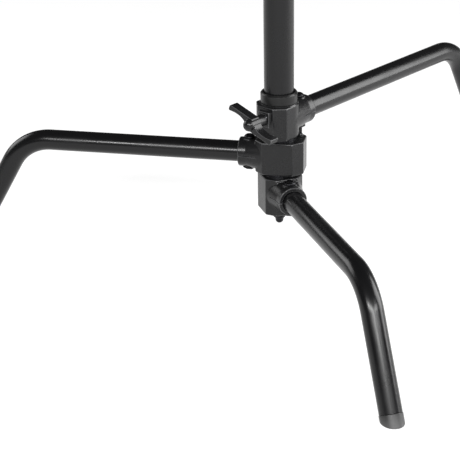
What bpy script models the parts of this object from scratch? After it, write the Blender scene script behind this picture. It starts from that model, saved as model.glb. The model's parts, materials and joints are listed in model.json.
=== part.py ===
"""Turtle-base C stand: three nesting bent legs on a short sleeve, a lift-off column and two risers.

Metres, +Z up, floor at z = 0. Everything is built round the column axis and hangs from one empty,
which finally moves so that the origin is the centre of the footprint.
Run with: blender --background --python part.py
"""

import math

import bmesh
import bpy
from mathutils import Vector

# ---------------------------------------------------------------- driving dimensions
GAP = 0.0003                      # clearance kept between touching pieces
RUN_THROUGH = 0.002               # how far a cutter passes a face it opens
SEAM = 0.00001                    # corners closer than this are one corner
ROUND_STEPS = 28                  # facets round the column pieces
SPIGOT_STEPS = 20
SOCKET_STEPS = 26
SMALL_STEPS = 14                  # facets round screws, pins and knobs
FOOT_STEPS = 24
LUG_STEPS = 4
TUBE_BEVEL = 6                    # curve bevel resolution of the bent tubes
SHARP_ANGLE = math.radians(30.0)  # edges steeper than this are shaded sharp

# legs
LEG_RADIUS = 0.0125
LEG_WALL = 0.002
LEG_BEND_RADIUS = 0.060
LEG_DROP = math.radians(60.0)     # slope of the lower run below the horizontal
BEND_STEP = math.radians(10.0)
TURN_OPEN = math.radians(120.0)   # angle between neighbouring open legs
TOP_LEG_AZIMUTH = math.radians(50.4)
TOP_LEG_REACH = 0.364             # column axis to the bend's corner
MIDDLE_LEG_SHORTER = 0.046        # how much less than the top leg's reach, so that they nest
BOTTOM_LEG_SHORTER = 0.053        # and the bottom leg's against the middle leg's
BOTTOM_LEG_HEIGHT = 0.128         # leg axis above the floor
LEG_SEAT_GAP = 0.0004             # inner end of a leg tube to its socket's floor
FOOT_LIFT = 0.0013                # lowest point of a tube's rim above the floor, along the tube
FOOT_SLEEVE = 0.0005              # how far a foot stands proud of its tube
FOOT_PLUG_LENGTH = 0.018

# hubs that carry the legs
HUB_LAND = 0.0024                 # hub's end face beyond its screw pads
HUB_GAP = 0.004                   # space between neighbouring hubs
HUB_WALL = 0.0035
TOP_BLOCK_BACK = 0.0020           # each hub's block beyond its round wall; the bottom's is flush
MIDDLE_BLOCK_BACK = 0.0077
HUB_BLOCK_FACET = 0.0240          # width of that end facet
HUB_CHEEK_CHAMFER = 0.0098        # from the lower hubs' flat sides to their front
SKIRT_HEIGHT = 0.0055             # bottom hub's wall below its seat, round the cap
SKIRT_WALL = 0.0015
SOCKET_WALL = 0.0047
SOCKET_MOUTH = 0.0120             # screw axis to the socket's open end
SOCKET_EDGE = 0.0008
SOCKET_FLOOR = 0.0048             # wall between the hub's bore and the socket's
FLARE_INSIDE = 0.0053             # flare's wide end, from the hub's bore towards the column axis
ROUND_FLARE_INSIDE = 0.0158       # the same on a hub with a round nose
FLARE_PAST_BOLT = 0.0025
FLARE_SPREAD = 0.0058             # how much wider the flare is than the socket, at the column
FLARE_SINK = 0.0004               # flare's flats below the screw pads
SLIT_FLOOR = 0.0042               # wall between the hub's bore and the slit
SLIT_WIDTH = 0.0015
LUG_OFFSET = 0.0012               # stop lug's inner face beyond the hub's round wall
LUG_DEPTH = 0.0040
LUG_HEIGHT = 0.0034
LUG_SPAN = math.radians(10.0)
LUG_AZIMUTH = math.radians(16.0)  # stop line between the top and middle hubs
RIM_HEIGHT = 0.0012
RIM_INSET = 0.0009

# socket screws and nuts
BOLT_SETBACK = 0.0157             # hub's bore to screw axis
BOLT_RADIUS = 0.0040
BOLT_HEAD_RADIUS = 0.0065
BOLT_HEAD_CROWN = 0.0046          # radius of the head's flat top
BOLT_HEAD_HEIGHT = 0.0037
BOLT_HEAD_SIDE = 0.0020
BOLT_KEY_RADIUS = 0.0034
BOLT_KEY_DEPTH = 0.0022
PAD_RADIUS = 0.0080
PAD_PROUD = 0.0001                # pad face beyond the socket's round wall
NUT_FLANGE_RADIUS = 0.0085
NUT_FLANGE_HEIGHT = 0.0013
NUT_DOME_RADIUS = 0.0062
NUT_CROWN_RADIUS = 0.0040
NUT_CROWN_HEIGHT = 0.0010
NUT_HEIGHT = 0.0037
THREAD_SHORT = 0.0012             # blind end of a nut below its screw
KEY_SIDES = 6

# column, risers and spigot
COLUMN_RADIUS = 0.0175
STAGE_CLEARANCE = 0.0010          # between a tube's bore and the next tube
TUBE_WALL = 0.0015
COLUMN_LENGTH = 1.000
SLEEVE_WALL = 0.0017
SLEEVE_ABOVE_HUB = 0.0085
COLLAR_WALL = 0.00225
COLLAR_HEIGHT = 0.0120
COLLAR_LIP = 0.0045
COLLAR_CHAMFER = 0.0015
BASE_CAP_THICKNESS = 0.0035
WASHER_INSET = 0.0008
BASE_BOSS_HEIGHT = 0.0070
BASE_FOOT_RADIUS = 0.0090         # the cap's lower boss, round the centre screw
BASE_FOOT_HEIGHT = 0.0067
CENTRE_SCREW_RADIUS = 0.0040
CENTRE_SCREW_GRIP = 0.0145        # length of the centre screw's shank
CENTRE_FLANGE_RADIUS = 0.0075
CENTRE_FLANGE_HEIGHT = 0.0034
CENTRE_DOME_RADIUS = 0.0048
CENTRE_DOME_HEIGHT = 0.0077
CENTRE_CROWN_RADIUS = 0.0030
CENTRE_CROWN_HEIGHT = 0.0016
PLUG_FLANGE = 0.0020
PLUG_LENGTH = 0.0150
GUIDE_FLANGE = 0.0120
GUIDE_SPACE = 0.0100              # between one stage's plug and the next stage's guide
CLAMP_HEIGHT = 0.064
CLAMP_WALL = 0.0055
CLAMP_EDGE = 0.0015
CLAMP_INSERT = 0.026              # tube length held in the clamp
CLAMP_LIP = 0.005
CLAMP_BOSS_WIDTH = 0.022
CLAMP_BOSS_HEIGHT = 0.026
CLAMP_BOSS_REACH = 0.0095         # boss face beyond the casting's round wall
STAGE_SPACE = 0.001               # between stacked clamps
SPIGOT_COLLAR_RADIUS = 0.0150
SPIGOT_COLLAR_HEIGHT = 0.012
SPIGOT_NECK_RADIUS = 0.0100
SPIGOT_NECK_HEIGHT = 0.012
SPIGOT_RADIUS = 0.0079            # 16 mm grip pin
SPIGOT_LENGTH = 0.080
SPIGOT_GROOVE_RADIUS = 0.0064
SPIGOT_GROOVE_LOW = 0.030
SPIGOT_GROOVE_LENGTH = 0.014
SPIGOT_EDGE = 0.0012
SPIGOT_PLUG_LENGTH = 0.030
PIN_RADIUS = 0.0015
PIN_HEIGHT = 0.012                # cross pin above a clamp's lower end
PIN_FLUSH = 0.0004

# T-knobs
KNOB_LIFT = 0.006                 # base knob's axis above the top leg's axis
KNOB_BOSS_WIDTH = 0.016
KNOB_BOSS_HEIGHT = 0.018
KNOB_BOSS_REACH = 0.0025
KNOB_TRAVEL = 0.0025              # how far a pressure pad backs off
KNOB_STANDOFF = 0.0015
KNOB_BARREL_RADIUS = 0.0070
KNOB_BARREL_LENGTH = 0.0305
KNOB_DOME = 0.0050
KNOB_DOME_STEPS = 3
KNOB_WING_OFFSET = 0.0168         # wing centre beyond the barrel's inner end
KNOB_WING_THICKNESS = 0.0125
KNOB_WING_REACH = 0.0350          # axis to a wing's end
KNOB_ROOT_RADIUS = 0.0078
KNOB_END_OFFSET = 0.0056          # straight side at a wing's end, from the wings' centre line
KNOB_END_HEIGHT = 0.0070
KNOB_END_RADIUS = 0.0020
KNOB_END_STEPS = 3
KNOB_SCOOP_START = math.radians(16.0)
KNOB_SCOOP_MIDDLE = (0.0160, -0.0042)
KNOB_SCOOP_STEPS = 4
KNOB_TILT = math.radians(22.0)
STUD_RADIUS = 0.0040
STUD_IN_KNOB = 0.012
PRESS_PAD_RADIUS = 0.0060
PRESS_PAD_THICKNESS = 0.003
KNOB_AZIMUTH_STEP = math.radians(120.0)

# ---------------------------------------------------------------- derived dimensions
SLEEVE_INNER = COLUMN_RADIUS + GAP
SLEEVE_OUTER = SLEEVE_INNER + SLEEVE_WALL
HUB_BORE = SLEEVE_OUTER + GAP
HUB_RADIUS = HUB_BORE + HUB_WALL
RISER_1_RADIUS = COLUMN_RADIUS - TUBE_WALL - STAGE_CLEARANCE
RISER_2_RADIUS = RISER_1_RADIUS - TUBE_WALL - STAGE_CLEARANCE
COLLAR_OUTER = SLEEVE_OUTER + COLLAR_WALL
MIDDLE_LEG_REACH = TOP_LEG_REACH - MIDDLE_LEG_SHORTER
BOTTOM_LEG_REACH = MIDDLE_LEG_REACH - BOTTOM_LEG_SHORTER
SOCKET_BORE = LEG_RADIUS + GAP
SOCKET_RADIUS = SOCKET_BORE + SOCKET_WALL
PAD_HEIGHT = SOCKET_RADIUS + PAD_PROUD
HUB_HEIGHT = 2 * (PAD_HEIGHT + HUB_LAND)
HUB_PITCH = HUB_HEIGHT + HUB_GAP
TOP_BLOCK_DEPTH = HUB_RADIUS + TOP_BLOCK_BACK
MIDDLE_BLOCK_DEPTH = HUB_RADIUS + MIDDLE_BLOCK_BACK
BOTTOM_BLOCK_DEPTH = HUB_RADIUS
SOCKET_BORE_START = HUB_BORE + SOCKET_FLOOR
SLIT_START = HUB_BORE + SLIT_FLOOR
LEG_INSET = SOCKET_BORE_START + LEG_SEAT_GAP
LUG_INNER = HUB_RADIUS + LUG_OFFSET
LUG_OUTER = LUG_INNER + LUG_DEPTH
BOLT_DISTANCE = HUB_BORE + BOLT_SETBACK
SOCKET_REACH = BOLT_DISTANCE + SOCKET_MOUTH
FLARE_START = HUB_BORE - FLARE_INSIDE
ROUND_FLARE_START = HUB_BORE - ROUND_FLARE_INSIDE
FLARE_END = BOLT_DISTANCE + FLARE_PAST_BOLT
MIDDLE_LEG_HEIGHT = BOTTOM_LEG_HEIGHT + HUB_PITCH
TOP_LEG_HEIGHT = MIDDLE_LEG_HEIGHT + HUB_PITCH
HUB_STACK_BOTTOM = BOTTOM_LEG_HEIGHT - HUB_HEIGHT / 2
HUB_STACK_TOP = TOP_LEG_HEIGHT + HUB_HEIGHT / 2
BASE_CAP_TOP = HUB_STACK_BOTTOM - HUB_GAP
SKIRT_BORE = HUB_RADIUS - SKIRT_WALL
HUB_FRONT = BOLT_DISTANCE - NUT_FLANGE_RADIUS - 2 * GAP
HUB_CHEEK_REACH = HUB_FRONT - HUB_CHEEK_CHAMFER
SLEEVE_TOP = HUB_STACK_TOP + SLEEVE_ABOVE_HUB
BASE_BOSS_TOP = BASE_CAP_TOP + BASE_BOSS_HEIGHT
COLUMN_PLUG_BOTTOM = BASE_BOSS_TOP + GAP
COLUMN_BOTTOM = COLUMN_PLUG_BOTTOM + PLUG_FLANGE + GAP
COLUMN_TOP = COLUMN_BOTTOM + COLUMN_LENGTH
BOLT_HOLE = BOLT_RADIUS + GAP
STUD_HOLE = STUD_RADIUS + GAP
PAD_HOLE = PRESS_PAD_RADIUS + GAP
PIN_HOLE = PIN_RADIUS + GAP
FOOT_END = LEG_RADIUS / math.tan(LEG_DROP) + FOOT_LIFT


# ---------------------------------------------------------------- scene helpers
def clear_scene():
    for old in list(bpy.data.objects):
        bpy.data.objects.remove(old, do_unlink=True)


def new_collection(name):
    made = bpy.data.collections.new(name)
    bpy.context.scene.collection.children.link(made)
    return made


def srgb_to_linear(value):
    if value <= 0.04045:
        return value / 12.92
    return ((value + 0.055) / 1.055) ** 2.4


def new_material(name, grey, roughness, metallic):
    made = bpy.data.materials.new(name)
    made.use_nodes = True
    shader = made.node_tree.nodes["Principled BSDF"]
    level = srgb_to_linear(grey)
    shader.inputs["Base Color"].default_value = (level, level, level, 1.0)
    shader.inputs["Roughness"].default_value = roughness
    shader.inputs["Metallic"].default_value = metallic
    return made


clear_scene()
PARTS = new_collection("c_stand")
CUTTERS = new_collection("c_stand_cutters")
TUBE_PAINT = new_material("tube_powder_coat", 0.10, 0.35, 0.0)
CAST_PAINT = new_material("cast_powder_coat", 0.14, 0.55, 0.0)
BLACK_STEEL = new_material("blackened_steel", 0.12, 0.40, 1.0)
BRIGHT_STEEL = new_material("bright_steel", 0.60, 0.30, 1.0)
BLACK_NYLON = new_material("black_nylon", 0.09, 0.60, 0.0)


def add_empty(name, parent=None, location=(0.0, 0.0, 0.0), turn=(0.0, 0.0, 0.0)):
    made = bpy.data.objects.new(name, None)
    PARTS.objects.link(made)
    made.parent = parent
    made.location = location
    made.rotation_euler = turn
    return made


def add_object(name, mesh, material, parent, location=(0.0, 0.0, 0.0), turn=(0.0, 0.0, 0.0)):
    """Adds a part, or a cutter when it has no material."""
    made = bpy.data.objects.new(name, mesh)
    if material is None:
        CUTTERS.objects.link(made)
        made.hide_render = True
        made.display_type = "WIRE"
    else:
        PARTS.objects.link(made)
        mesh.materials.append(material)
    made.parent = parent
    made.location = location
    made.rotation_euler = turn
    return made


def turned(name, profile, material, parent, location=(0.0, 0.0, 0.0), turn=(0.0, 0.0, 0.0),
           steps=ROUND_STEPS):
    """A shape turned round local Z from (radius, height) points, which run down its outer side.

    A profile that leaves the axis clear is closed into a ring.
    """
    mesh = bpy.data.meshes.new(name)
    shape = bmesh.new()
    points = [shape.verts.new((radius, 0.0, height)) for radius, height in profile]
    for first, second in zip(points, points[1:]):
        shape.edges.new((first, second))
    if profile[0][0] > 0.0:
        shape.edges.new((points[-1], points[0]))
    shape.to_mesh(mesh)
    shape.free()
    made = add_object(name, mesh, material, parent, location, turn)
    screw = made.modifiers.new("turn", "SCREW")
    screw.axis = "Z"
    screw.steps = steps
    screw.render_steps = steps
    screw.use_merge_vertices = True
    screw.merge_threshold = SEAM
    screw.use_smooth_shade = True
    return made


def rod(radius, low, high):
    return [(0.0, high), (radius, high), (radius, low), (0.0, low)]


def ring(outer, inner, low, high):
    return [(outer, high), (outer, low), (inner, low), (inner, high)]


def block(name, low, high, material, parent, location=(0.0, 0.0, 0.0), turn=(0.0, 0.0, 0.0)):
    """A box between two corners."""
    mesh = bpy.data.meshes.new(name)
    shape = bmesh.new()
    bmesh.ops.create_cube(shape, size=1.0)
    for corner in shape.verts:
        for axis in range(3):
            corner.co[axis] = high[axis] if corner.co[axis] > 0.0 else low[axis]
    shape.to_mesh(mesh)
    shape.free()
    return add_object(name, mesh, material, parent, location, turn)


def curve_to_part(curve_object, name, material, parent, location, turn):
    """Turns a curve object into a closed mesh part or cutter, and removes the curve."""
    CUTTERS.objects.link(curve_object)
    depsgraph = bpy.context.evaluated_depsgraph_get()
    mesh = bpy.data.meshes.new_from_object(curve_object.evaluated_get(depsgraph))
    mesh.materials.clear()
    shape = bmesh.new()
    shape.from_mesh(mesh)
    bmesh.ops.remove_doubles(shape, verts=shape.verts, dist=0.000001)
    shape.to_mesh(mesh)
    shape.free()
    bpy.data.objects.remove(curve_object, do_unlink=True)
    return add_object(name, mesh, material, parent, location, turn)


def outline_solid(name, outline, low, high, material, parent, location=(0.0, 0.0, 0.0),
                  turn=(0.0, 0.0, 0.0)):
    """A flat outline in local XY, extruded from low to high along local Z."""
    curve = bpy.data.curves.new(name, "CURVE")
    curve.dimensions = "2D"
    curve.fill_mode = "BOTH"
    curve.extrude = (high - low) / 2
    spline = curve.splines.new("POLY")
    spline.points.add(len(outline) - 1)
    for point, (x, y) in zip(spline.points, outline):
        point.co = (x, y, 0.0, 1.0)
    spline.use_cyclic_u = True
    made = curve_to_part(bpy.data.objects.new(name + "_curve", curve), name, material, parent,
                         location, turn)
    for vertex in made.data.vertices:
        vertex.co.z += (high + low) / 2
    return made


def piped(name, path, radius, material, parent):
    """A round bar along a path of points."""
    curve = bpy.data.curves.new(name, "CURVE")
    curve.dimensions = "3D"
    curve.bevel_depth = radius
    curve.bevel_resolution = TUBE_BEVEL
    curve.use_fill_caps = True
    spline = curve.splines.new("POLY")
    spline.points.add(len(path) - 1)
    for point, place in zip(spline.points, path):
        point.co = (*place, 1.0)
    return curve_to_part(bpy.data.objects.new(name + "_curve", curve), name, material, parent,
                         (0.0, 0.0, 0.0), (0.0, 0.0, 0.0))


def combine(target, operation, *others):
    for other in others:
        step = target.modifiers.new(operation.lower() + "_" + other.name, "BOOLEAN")
        step.operation = operation
        step.object = other
        step.solver = "MANIFOLD"


def weld_seams():
    """Joins the doubled corners that a cut can leave where two edges cross."""
    for part in PARTS.objects:
        if any(step.type == "BOOLEAN" for step in part.modifiers):
            weld = part.modifiers.new("weld", "WELD")
            weld.merge_threshold = SEAM


def arc(centre, radius, start, end, count):
    """Points on an arc, both ends included."""
    turns = [start + (end - start) * index / (count - 1) for index in range(count)]
    return [(centre[0] + radius * math.cos(turn), centre[1] + radius * math.sin(turn))
            for turn in turns]


# ---------------------------------------------------------------- legs and their hubs
def leg_path(reach, run_start, drop_length):
    """Centre line in the leg's own frame: X outwards, Z up, from run_start down to the foot."""
    corner = LEG_BEND_RADIUS * math.tan(LEG_DROP / 2)
    steps = round(LEG_DROP / BEND_STEP)
    path = [(run_start, 0.0, 0.0)]
    for index in range(steps + 1):
        angle = LEG_DROP * index / steps
        path.append((reach - corner + LEG_BEND_RADIUS * math.sin(angle), 0.0,
                     -LEG_BEND_RADIUS * (1.0 - math.cos(angle))))
    path.append((reach + drop_length * math.cos(LEG_DROP), 0.0,
                 -drop_length * math.sin(LEG_DROP)))
    return path


def make_leg_tube(name, frame, reach, height):
    drop_length = height / math.sin(LEG_DROP) - FOOT_END
    tube = piped(name + "_leg_tube", leg_path(reach, LEG_INSET, drop_length), LEG_RADIUS,
                 TUBE_PAINT, frame)
    hollow = piped(name + "_leg_hollow", leg_path(reach, LEG_INSET - RUN_THROUGH,
                                                  drop_length + RUN_THROUGH),
                   LEG_RADIUS - LEG_WALL, None, frame)
    hole = turned(name + "_leg_bolt_hole", rod(BOLT_HOLE, -SOCKET_RADIUS, SOCKET_RADIUS), None,
                  frame, (BOLT_DISTANCE, 0.0, 0.0), steps=SMALL_STEPS)
    combine(tube, "DIFFERENCE", hole, hollow)


def make_leg_foot(name, frame, reach, height):
    """A plastic foot whose plug fills the tube's end, cut level with the floor."""
    drop_length = height / math.sin(LEG_DROP) - FOOT_END
    tube_end = (reach + drop_length * math.cos(LEG_DROP), 0.0, -drop_length * math.sin(LEG_DROP))
    along_drop = (0.0, math.pi / 2 + LEG_DROP, 0.0)
    outer = LEG_RADIUS + FOOT_SLEEVE
    plug = LEG_RADIUS - LEG_WALL - GAP
    below = FOOT_END + 2 * outer
    profile = [(0.0, below), (outer, below), (outer, GAP), (plug, GAP), (plug, -FOOT_PLUG_LENGTH),
               (0.0, -FOOT_PLUG_LENGTH)]
    foot = turned(name + "_leg_foot", profile, BLACK_NYLON, frame, tube_end, along_drop,
                  FOOT_STEPS)
    reach_out = tube_end[0] + below
    ground = block(name + "_ground", (0.0, -2 * below, -height - 2 * below),
                   (reach_out, 2 * below, -height), None, frame)
    combine(foot, "DIFFERENCE", ground)


def make_socket_screw(name, frame):
    """Button-head screw down through the socket, and the flanged dome nut under it."""
    head_low = PAD_HEIGHT + GAP
    head_high = head_low + BOLT_HEAD_HEIGHT
    nut_top = -head_low
    nut_low = nut_top - NUT_HEIGHT
    thread_end = nut_low + THREAD_SHORT
    profile = [(0.0, head_high), (BOLT_HEAD_CROWN, head_high),
               (BOLT_HEAD_RADIUS, head_low + BOLT_HEAD_SIDE),
               (BOLT_HEAD_RADIUS, head_low), (BOLT_RADIUS, head_low), (BOLT_RADIUS, thread_end),
               (0.0, thread_end)]
    spot = (BOLT_DISTANCE, 0.0, 0.0)
    bolt = turned(name + "_leg_bolt", profile, BLACK_STEEL, frame, spot, steps=SMALL_STEPS)
    key = turned(name + "_key", rod(BOLT_KEY_RADIUS, head_high - BOLT_KEY_DEPTH,
                                    head_high + RUN_THROUGH), None, frame, spot,
                 steps=KEY_SIDES)
    combine(bolt, "DIFFERENCE", key)
    hole_end = thread_end - GAP
    dome = [(NUT_FLANGE_RADIUS, nut_top), (NUT_FLANGE_RADIUS, nut_top - NUT_FLANGE_HEIGHT),
            (NUT_DOME_RADIUS, nut_top - NUT_FLANGE_HEIGHT),
            (NUT_DOME_RADIUS, nut_low + NUT_CROWN_HEIGHT), (NUT_CROWN_RADIUS, nut_low),
            (0.0, nut_low)]
    nut = turned(name + "_leg_nut", [(0.0, nut_top)] + dome, BLACK_STEEL, frame, spot,
                 steps=SMALL_STEPS)
    bore = turned(name + "_nut_bore", rod(BOLT_HOLE, hole_end, nut_top + RUN_THROUGH), None, frame,
                  spot, steps=SMALL_STEPS)
    combine(nut, "DIFFERENCE", bore)


def hub_outline(depth, cheeks):
    """A block with a chamfered end, and a round nose or flat cheeks towards the leg."""
    half_facet = HUB_BLOCK_FACET / 2
    shoulder = -depth + HUB_RADIUS - half_facet
    if cheeks:
        narrow = HUB_RADIUS - HUB_CHEEK_CHAMFER
        nose = [(HUB_CHEEK_REACH, -HUB_RADIUS), (HUB_FRONT, -narrow), (HUB_FRONT, narrow),
                (HUB_CHEEK_REACH, HUB_RADIUS)]
    else:
        nose = arc((0.0, 0.0), HUB_RADIUS, -math.pi / 2, math.pi / 2, ROUND_STEPS // 2 + 1)
    return nose + [(shoulder, HUB_RADIUS), (-depth, half_facet), (-depth, -half_facet),
                   (shoulder, -HUB_RADIUS)]


def make_stop_lug(name, frame, azimuth, low, high):
    """A curved stop lug between two radii, centred on an azimuth of the hub's own frame."""
    inner = arc((0.0, 0.0), LUG_INNER, azimuth - LUG_SPAN / 2, azimuth + LUG_SPAN / 2, LUG_STEPS)
    outer = arc((0.0, 0.0), LUG_OUTER, azimuth + LUG_SPAN / 2, azimuth - LUG_SPAN / 2, LUG_STEPS)
    return outline_solid(name, inner + outer, low, high, None, frame)


def make_hub(name, frame, depth, cheeks=True, skirt=0.0, upper_lug=None, lower_lug=None,
             extras=()):
    """Casting with its bore on the column axis and its leg socket along local X."""
    half = HUB_HEIGHT / 2
    low = -half - skirt
    wide_end = FLARE_START if cheeks else ROUND_FLARE_START
    hub = outline_solid(name + "_hub", hub_outline(depth, cheeks), low, half, CAST_PAINT, frame)
    along_x = (0.0, math.pi / 2, 0.0)
    origin = (0.0, 0.0, 0.0)
    flare_profile = [(0.0, SOCKET_REACH), (SOCKET_RADIUS - SOCKET_EDGE, SOCKET_REACH),
                     (SOCKET_RADIUS, SOCKET_REACH - SOCKET_EDGE), (SOCKET_RADIUS, FLARE_END),
                     (SOCKET_RADIUS + FLARE_SPREAD, wide_end), (0.0, wide_end)]
    flare = turned(name + "_flare", flare_profile, None, frame, origin, along_x, ROUND_STEPS)
    wide = 2 * HUB_RADIUS
    flat = PAD_HEIGHT - FLARE_SINK
    slab = block(name + "_slab", (-wide, -wide, -flat), (3 * wide, wide, flat), None, frame)
    combine(flare, "INTERSECT", slab)
    pad = turned(name + "_pad", rod(PAD_RADIUS, -PAD_HEIGHT, PAD_HEIGHT), None, frame,
                 (BOLT_DISTANCE, 0.0, 0.0), steps=SMALL_STEPS)
    combine(hub, "UNION", *extras, flare, pad)
    root = half / 2
    if upper_lug is not None:
        combine(hub, "UNION", make_stop_lug(name + "_upper_lug", frame, upper_lug, root,
                                            half + LUG_HEIGHT))
    if lower_lug is not None:
        combine(hub, "UNION", make_stop_lug(name + "_lower_lug", frame, lower_lug,
                                            -half - LUG_HEIGHT, -root))
    bore_low = low - RUN_THROUGH
    bore_profile = [(0.0, half + RIM_HEIGHT + RUN_THROUGH), (HUB_BORE, half + RIM_HEIGHT + RUN_THROUGH),
                    (HUB_BORE, bore_low), (0.0, bore_low)]
    if skirt:
        bore_profile[2:3] = [(HUB_BORE, -half), (SKIRT_BORE, -half), (SKIRT_BORE, bore_low)]
    bore = turned(name + "_bore", bore_profile, None, frame)
    socket = turned(name + "_socket", rod(SOCKET_BORE, SOCKET_BORE_START,
                                          SOCKET_REACH + RUN_THROUGH), None, frame, origin,
                    along_x, SOCKET_STEPS)
    slit = block(name + "_slit", (SLIT_START, -wide, -SLIT_WIDTH / 2),
                 (SOCKET_REACH + RUN_THROUGH, wide, SLIT_WIDTH / 2), None, frame)
    hole = turned(name + "_bolt_hole", rod(BOLT_HOLE, -HUB_HEIGHT, HUB_HEIGHT), None, frame,
                  (BOLT_DISTANCE, 0.0, 0.0), steps=SMALL_STEPS)
    combine(hub, "DIFFERENCE", bore, socket, slit, hole)
    return hub


def make_leg(name, frame, reach, height):
    make_leg_tube(name, frame, reach, height)
    make_leg_foot(name, frame, reach, height)
    make_socket_screw(name, frame)


# ---------------------------------------------------------------- T-knobs
def wing_outline():
    """Two wings in local XY along X, each straight on one side and scooped on the other."""
    low = -KNOB_END_OFFSET
    high = low + KNOB_END_HEIGHT
    tip = KNOB_WING_REACH - KNOB_END_RADIUS
    quarter = math.pi / 2
    wing = [(0.0, -KNOB_ROOT_RADIUS)]
    wing += arc((tip, low + KNOB_END_RADIUS), KNOB_END_RADIUS, -quarter, 0.0, KNOB_END_STEPS)
    wing += arc((tip, high - KNOB_END_RADIUS), KNOB_END_RADIUS, 0.0, quarter, KNOB_END_STEPS)
    start = Vector((tip, high))
    middle = Vector(KNOB_SCOOP_MIDDLE)
    end = KNOB_ROOT_RADIUS * Vector((math.cos(KNOB_SCOOP_START), math.sin(KNOB_SCOOP_START)))
    for step in range(1, KNOB_SCOOP_STEPS + 1):
        share = step / KNOB_SCOOP_STEPS
        spot = start.lerp(middle, share).lerp(middle.lerp(end, share), share)
        wing.append((spot.x, spot.y))
    return wing + [(-x, -y) for x, y in wing]


def make_knob(name, frame, held_radius, boss_face, castings):
    """Handle, stud and pressure pad on a frame whose Z is the screw's outward axis.

    The castings given get the threaded hole and the pocket that the pad backs into.
    """
    pad_low = held_radius + GAP
    pad_high = pad_low + PRESS_PAD_THICKNESS
    knob_low = boss_face + KNOB_STANDOFF
    knob_high = knob_low + KNOB_BARREL_LENGTH
    stud_high = knob_low + STUD_IN_KNOB
    knob_frame = add_empty(name + "_knob_axis", frame)
    turned(name + "_knob_pad", rod(PRESS_PAD_RADIUS, pad_low, pad_high), BRIGHT_STEEL, knob_frame,
           steps=SMALL_STEPS)
    turned(name + "_knob_stud", rod(STUD_RADIUS, pad_high + GAP, stud_high), BRIGHT_STEEL,
           knob_frame, steps=SMALL_STEPS)
    dome = [(KNOB_BARREL_RADIUS * across, knob_high - KNOB_DOME * (1.0 - up))
            for across, up in arc((0.0, 0.0), 1.0, math.pi / 2, 0.0, KNOB_DOME_STEPS + 1)[1:]]
    barrel = [(0.0, knob_high)] + dome + [(KNOB_BARREL_RADIUS, knob_low), (0.0, knob_low)]
    knob = turned(name + "_knob", barrel, CAST_PAINT, knob_frame, steps=SMALL_STEPS)
    wing_middle = knob_low + KNOB_WING_OFFSET
    wings = outline_solid(name + "_knob_wings", wing_outline(),
                          wing_middle - KNOB_WING_THICKNESS / 2,
                          wing_middle + KNOB_WING_THICKNESS / 2, None, knob_frame,
                          turn=(0.0, 0.0, math.pi / 2 - KNOB_TILT))
    combine(knob, "UNION", wings)
    socket = turned(name + "_knob_socket", rod(STUD_HOLE, knob_low - RUN_THROUGH,
                                               stud_high + GAP), None, knob_frame,
                    steps=SMALL_STEPS)
    combine(knob, "DIFFERENCE", socket)
    pocket_end = pad_high + KNOB_TRAVEL + GAP
    through = boss_face + RUN_THROUGH
    pocket = turned(name + "_stud_hole",
                    [(0.0, through), (STUD_HOLE, through), (STUD_HOLE, pocket_end),
                     (PAD_HOLE, pocket_end), (PAD_HOLE, 0.0), (0.0, 0.0)], None, knob_frame,
                    steps=SMALL_STEPS)
    for casting in castings:
        combine(casting, "DIFFERENCE", pocket)


# ---------------------------------------------------------------- base
ROOT = add_empty("stand")
BASE = add_empty("base_axis", ROOT)
TOP_FRAME = add_empty("top_leg_axis", BASE, (0.0, 0.0, TOP_LEG_HEIGHT), (0.0, 0.0, TOP_LEG_AZIMUTH))
MIDDLE_FRAME = add_empty("middle_leg_axis", BASE, (0.0, 0.0, MIDDLE_LEG_HEIGHT),
                         (0.0, 0.0, TOP_LEG_AZIMUTH + TURN_OPEN))
BOTTOM_FRAME = add_empty("bottom_leg_axis", BASE, (0.0, 0.0, BOTTOM_LEG_HEIGHT),
                         (0.0, 0.0, TOP_LEG_AZIMUTH - TURN_OPEN))


def cross_pin(name, parent, height, azimuth, inner, outer, pieces):
    """A radial pin at a height and azimuth, and its hole through the pieces it joins."""
    turn = (0.0, math.pi / 2, azimuth)
    place = (0.0, 0.0, height)
    turned(name, rod(PIN_RADIUS, inner + PIN_FLUSH, outer - PIN_FLUSH), BLACK_STEEL, parent, place,
           turn, SMALL_STEPS)
    hole = turned(name + "_hole", rod(PIN_HOLE, inner - RUN_THROUGH, outer + RUN_THROUGH), None,
                  parent, place, turn, SMALL_STEPS)
    for piece in pieces:
        combine(piece, "DIFFERENCE", hole)


def make_centre_screw(cap, cap_low):
    """Flanged dome-head screw up into the cap's boss, on the column axis."""
    flange_top = cap_low - GAP
    flange_low = flange_top - CENTRE_FLANGE_HEIGHT
    dome_low = flange_low - CENTRE_DOME_HEIGHT
    shank_top = flange_top + CENTRE_SCREW_GRIP
    profile = [(0.0, shank_top), (CENTRE_SCREW_RADIUS, shank_top),
               (CENTRE_SCREW_RADIUS, flange_top), (CENTRE_FLANGE_RADIUS, flange_top),
               (CENTRE_FLANGE_RADIUS, flange_low), (CENTRE_DOME_RADIUS, flange_low),
               (CENTRE_DOME_RADIUS, dome_low + CENTRE_CROWN_HEIGHT),
               (CENTRE_CROWN_RADIUS, dome_low), (0.0, dome_low)]
    turned("centre_screw", profile, BLACK_STEEL, BASE, steps=SMALL_STEPS)
    hole = turned("centre_screw_hole", rod(CENTRE_SCREW_RADIUS + GAP, cap_low - RUN_THROUGH,
                                           shank_top + GAP), None, BASE, steps=SMALL_STEPS)
    combine(cap, "DIFFERENCE", hole)


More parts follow.
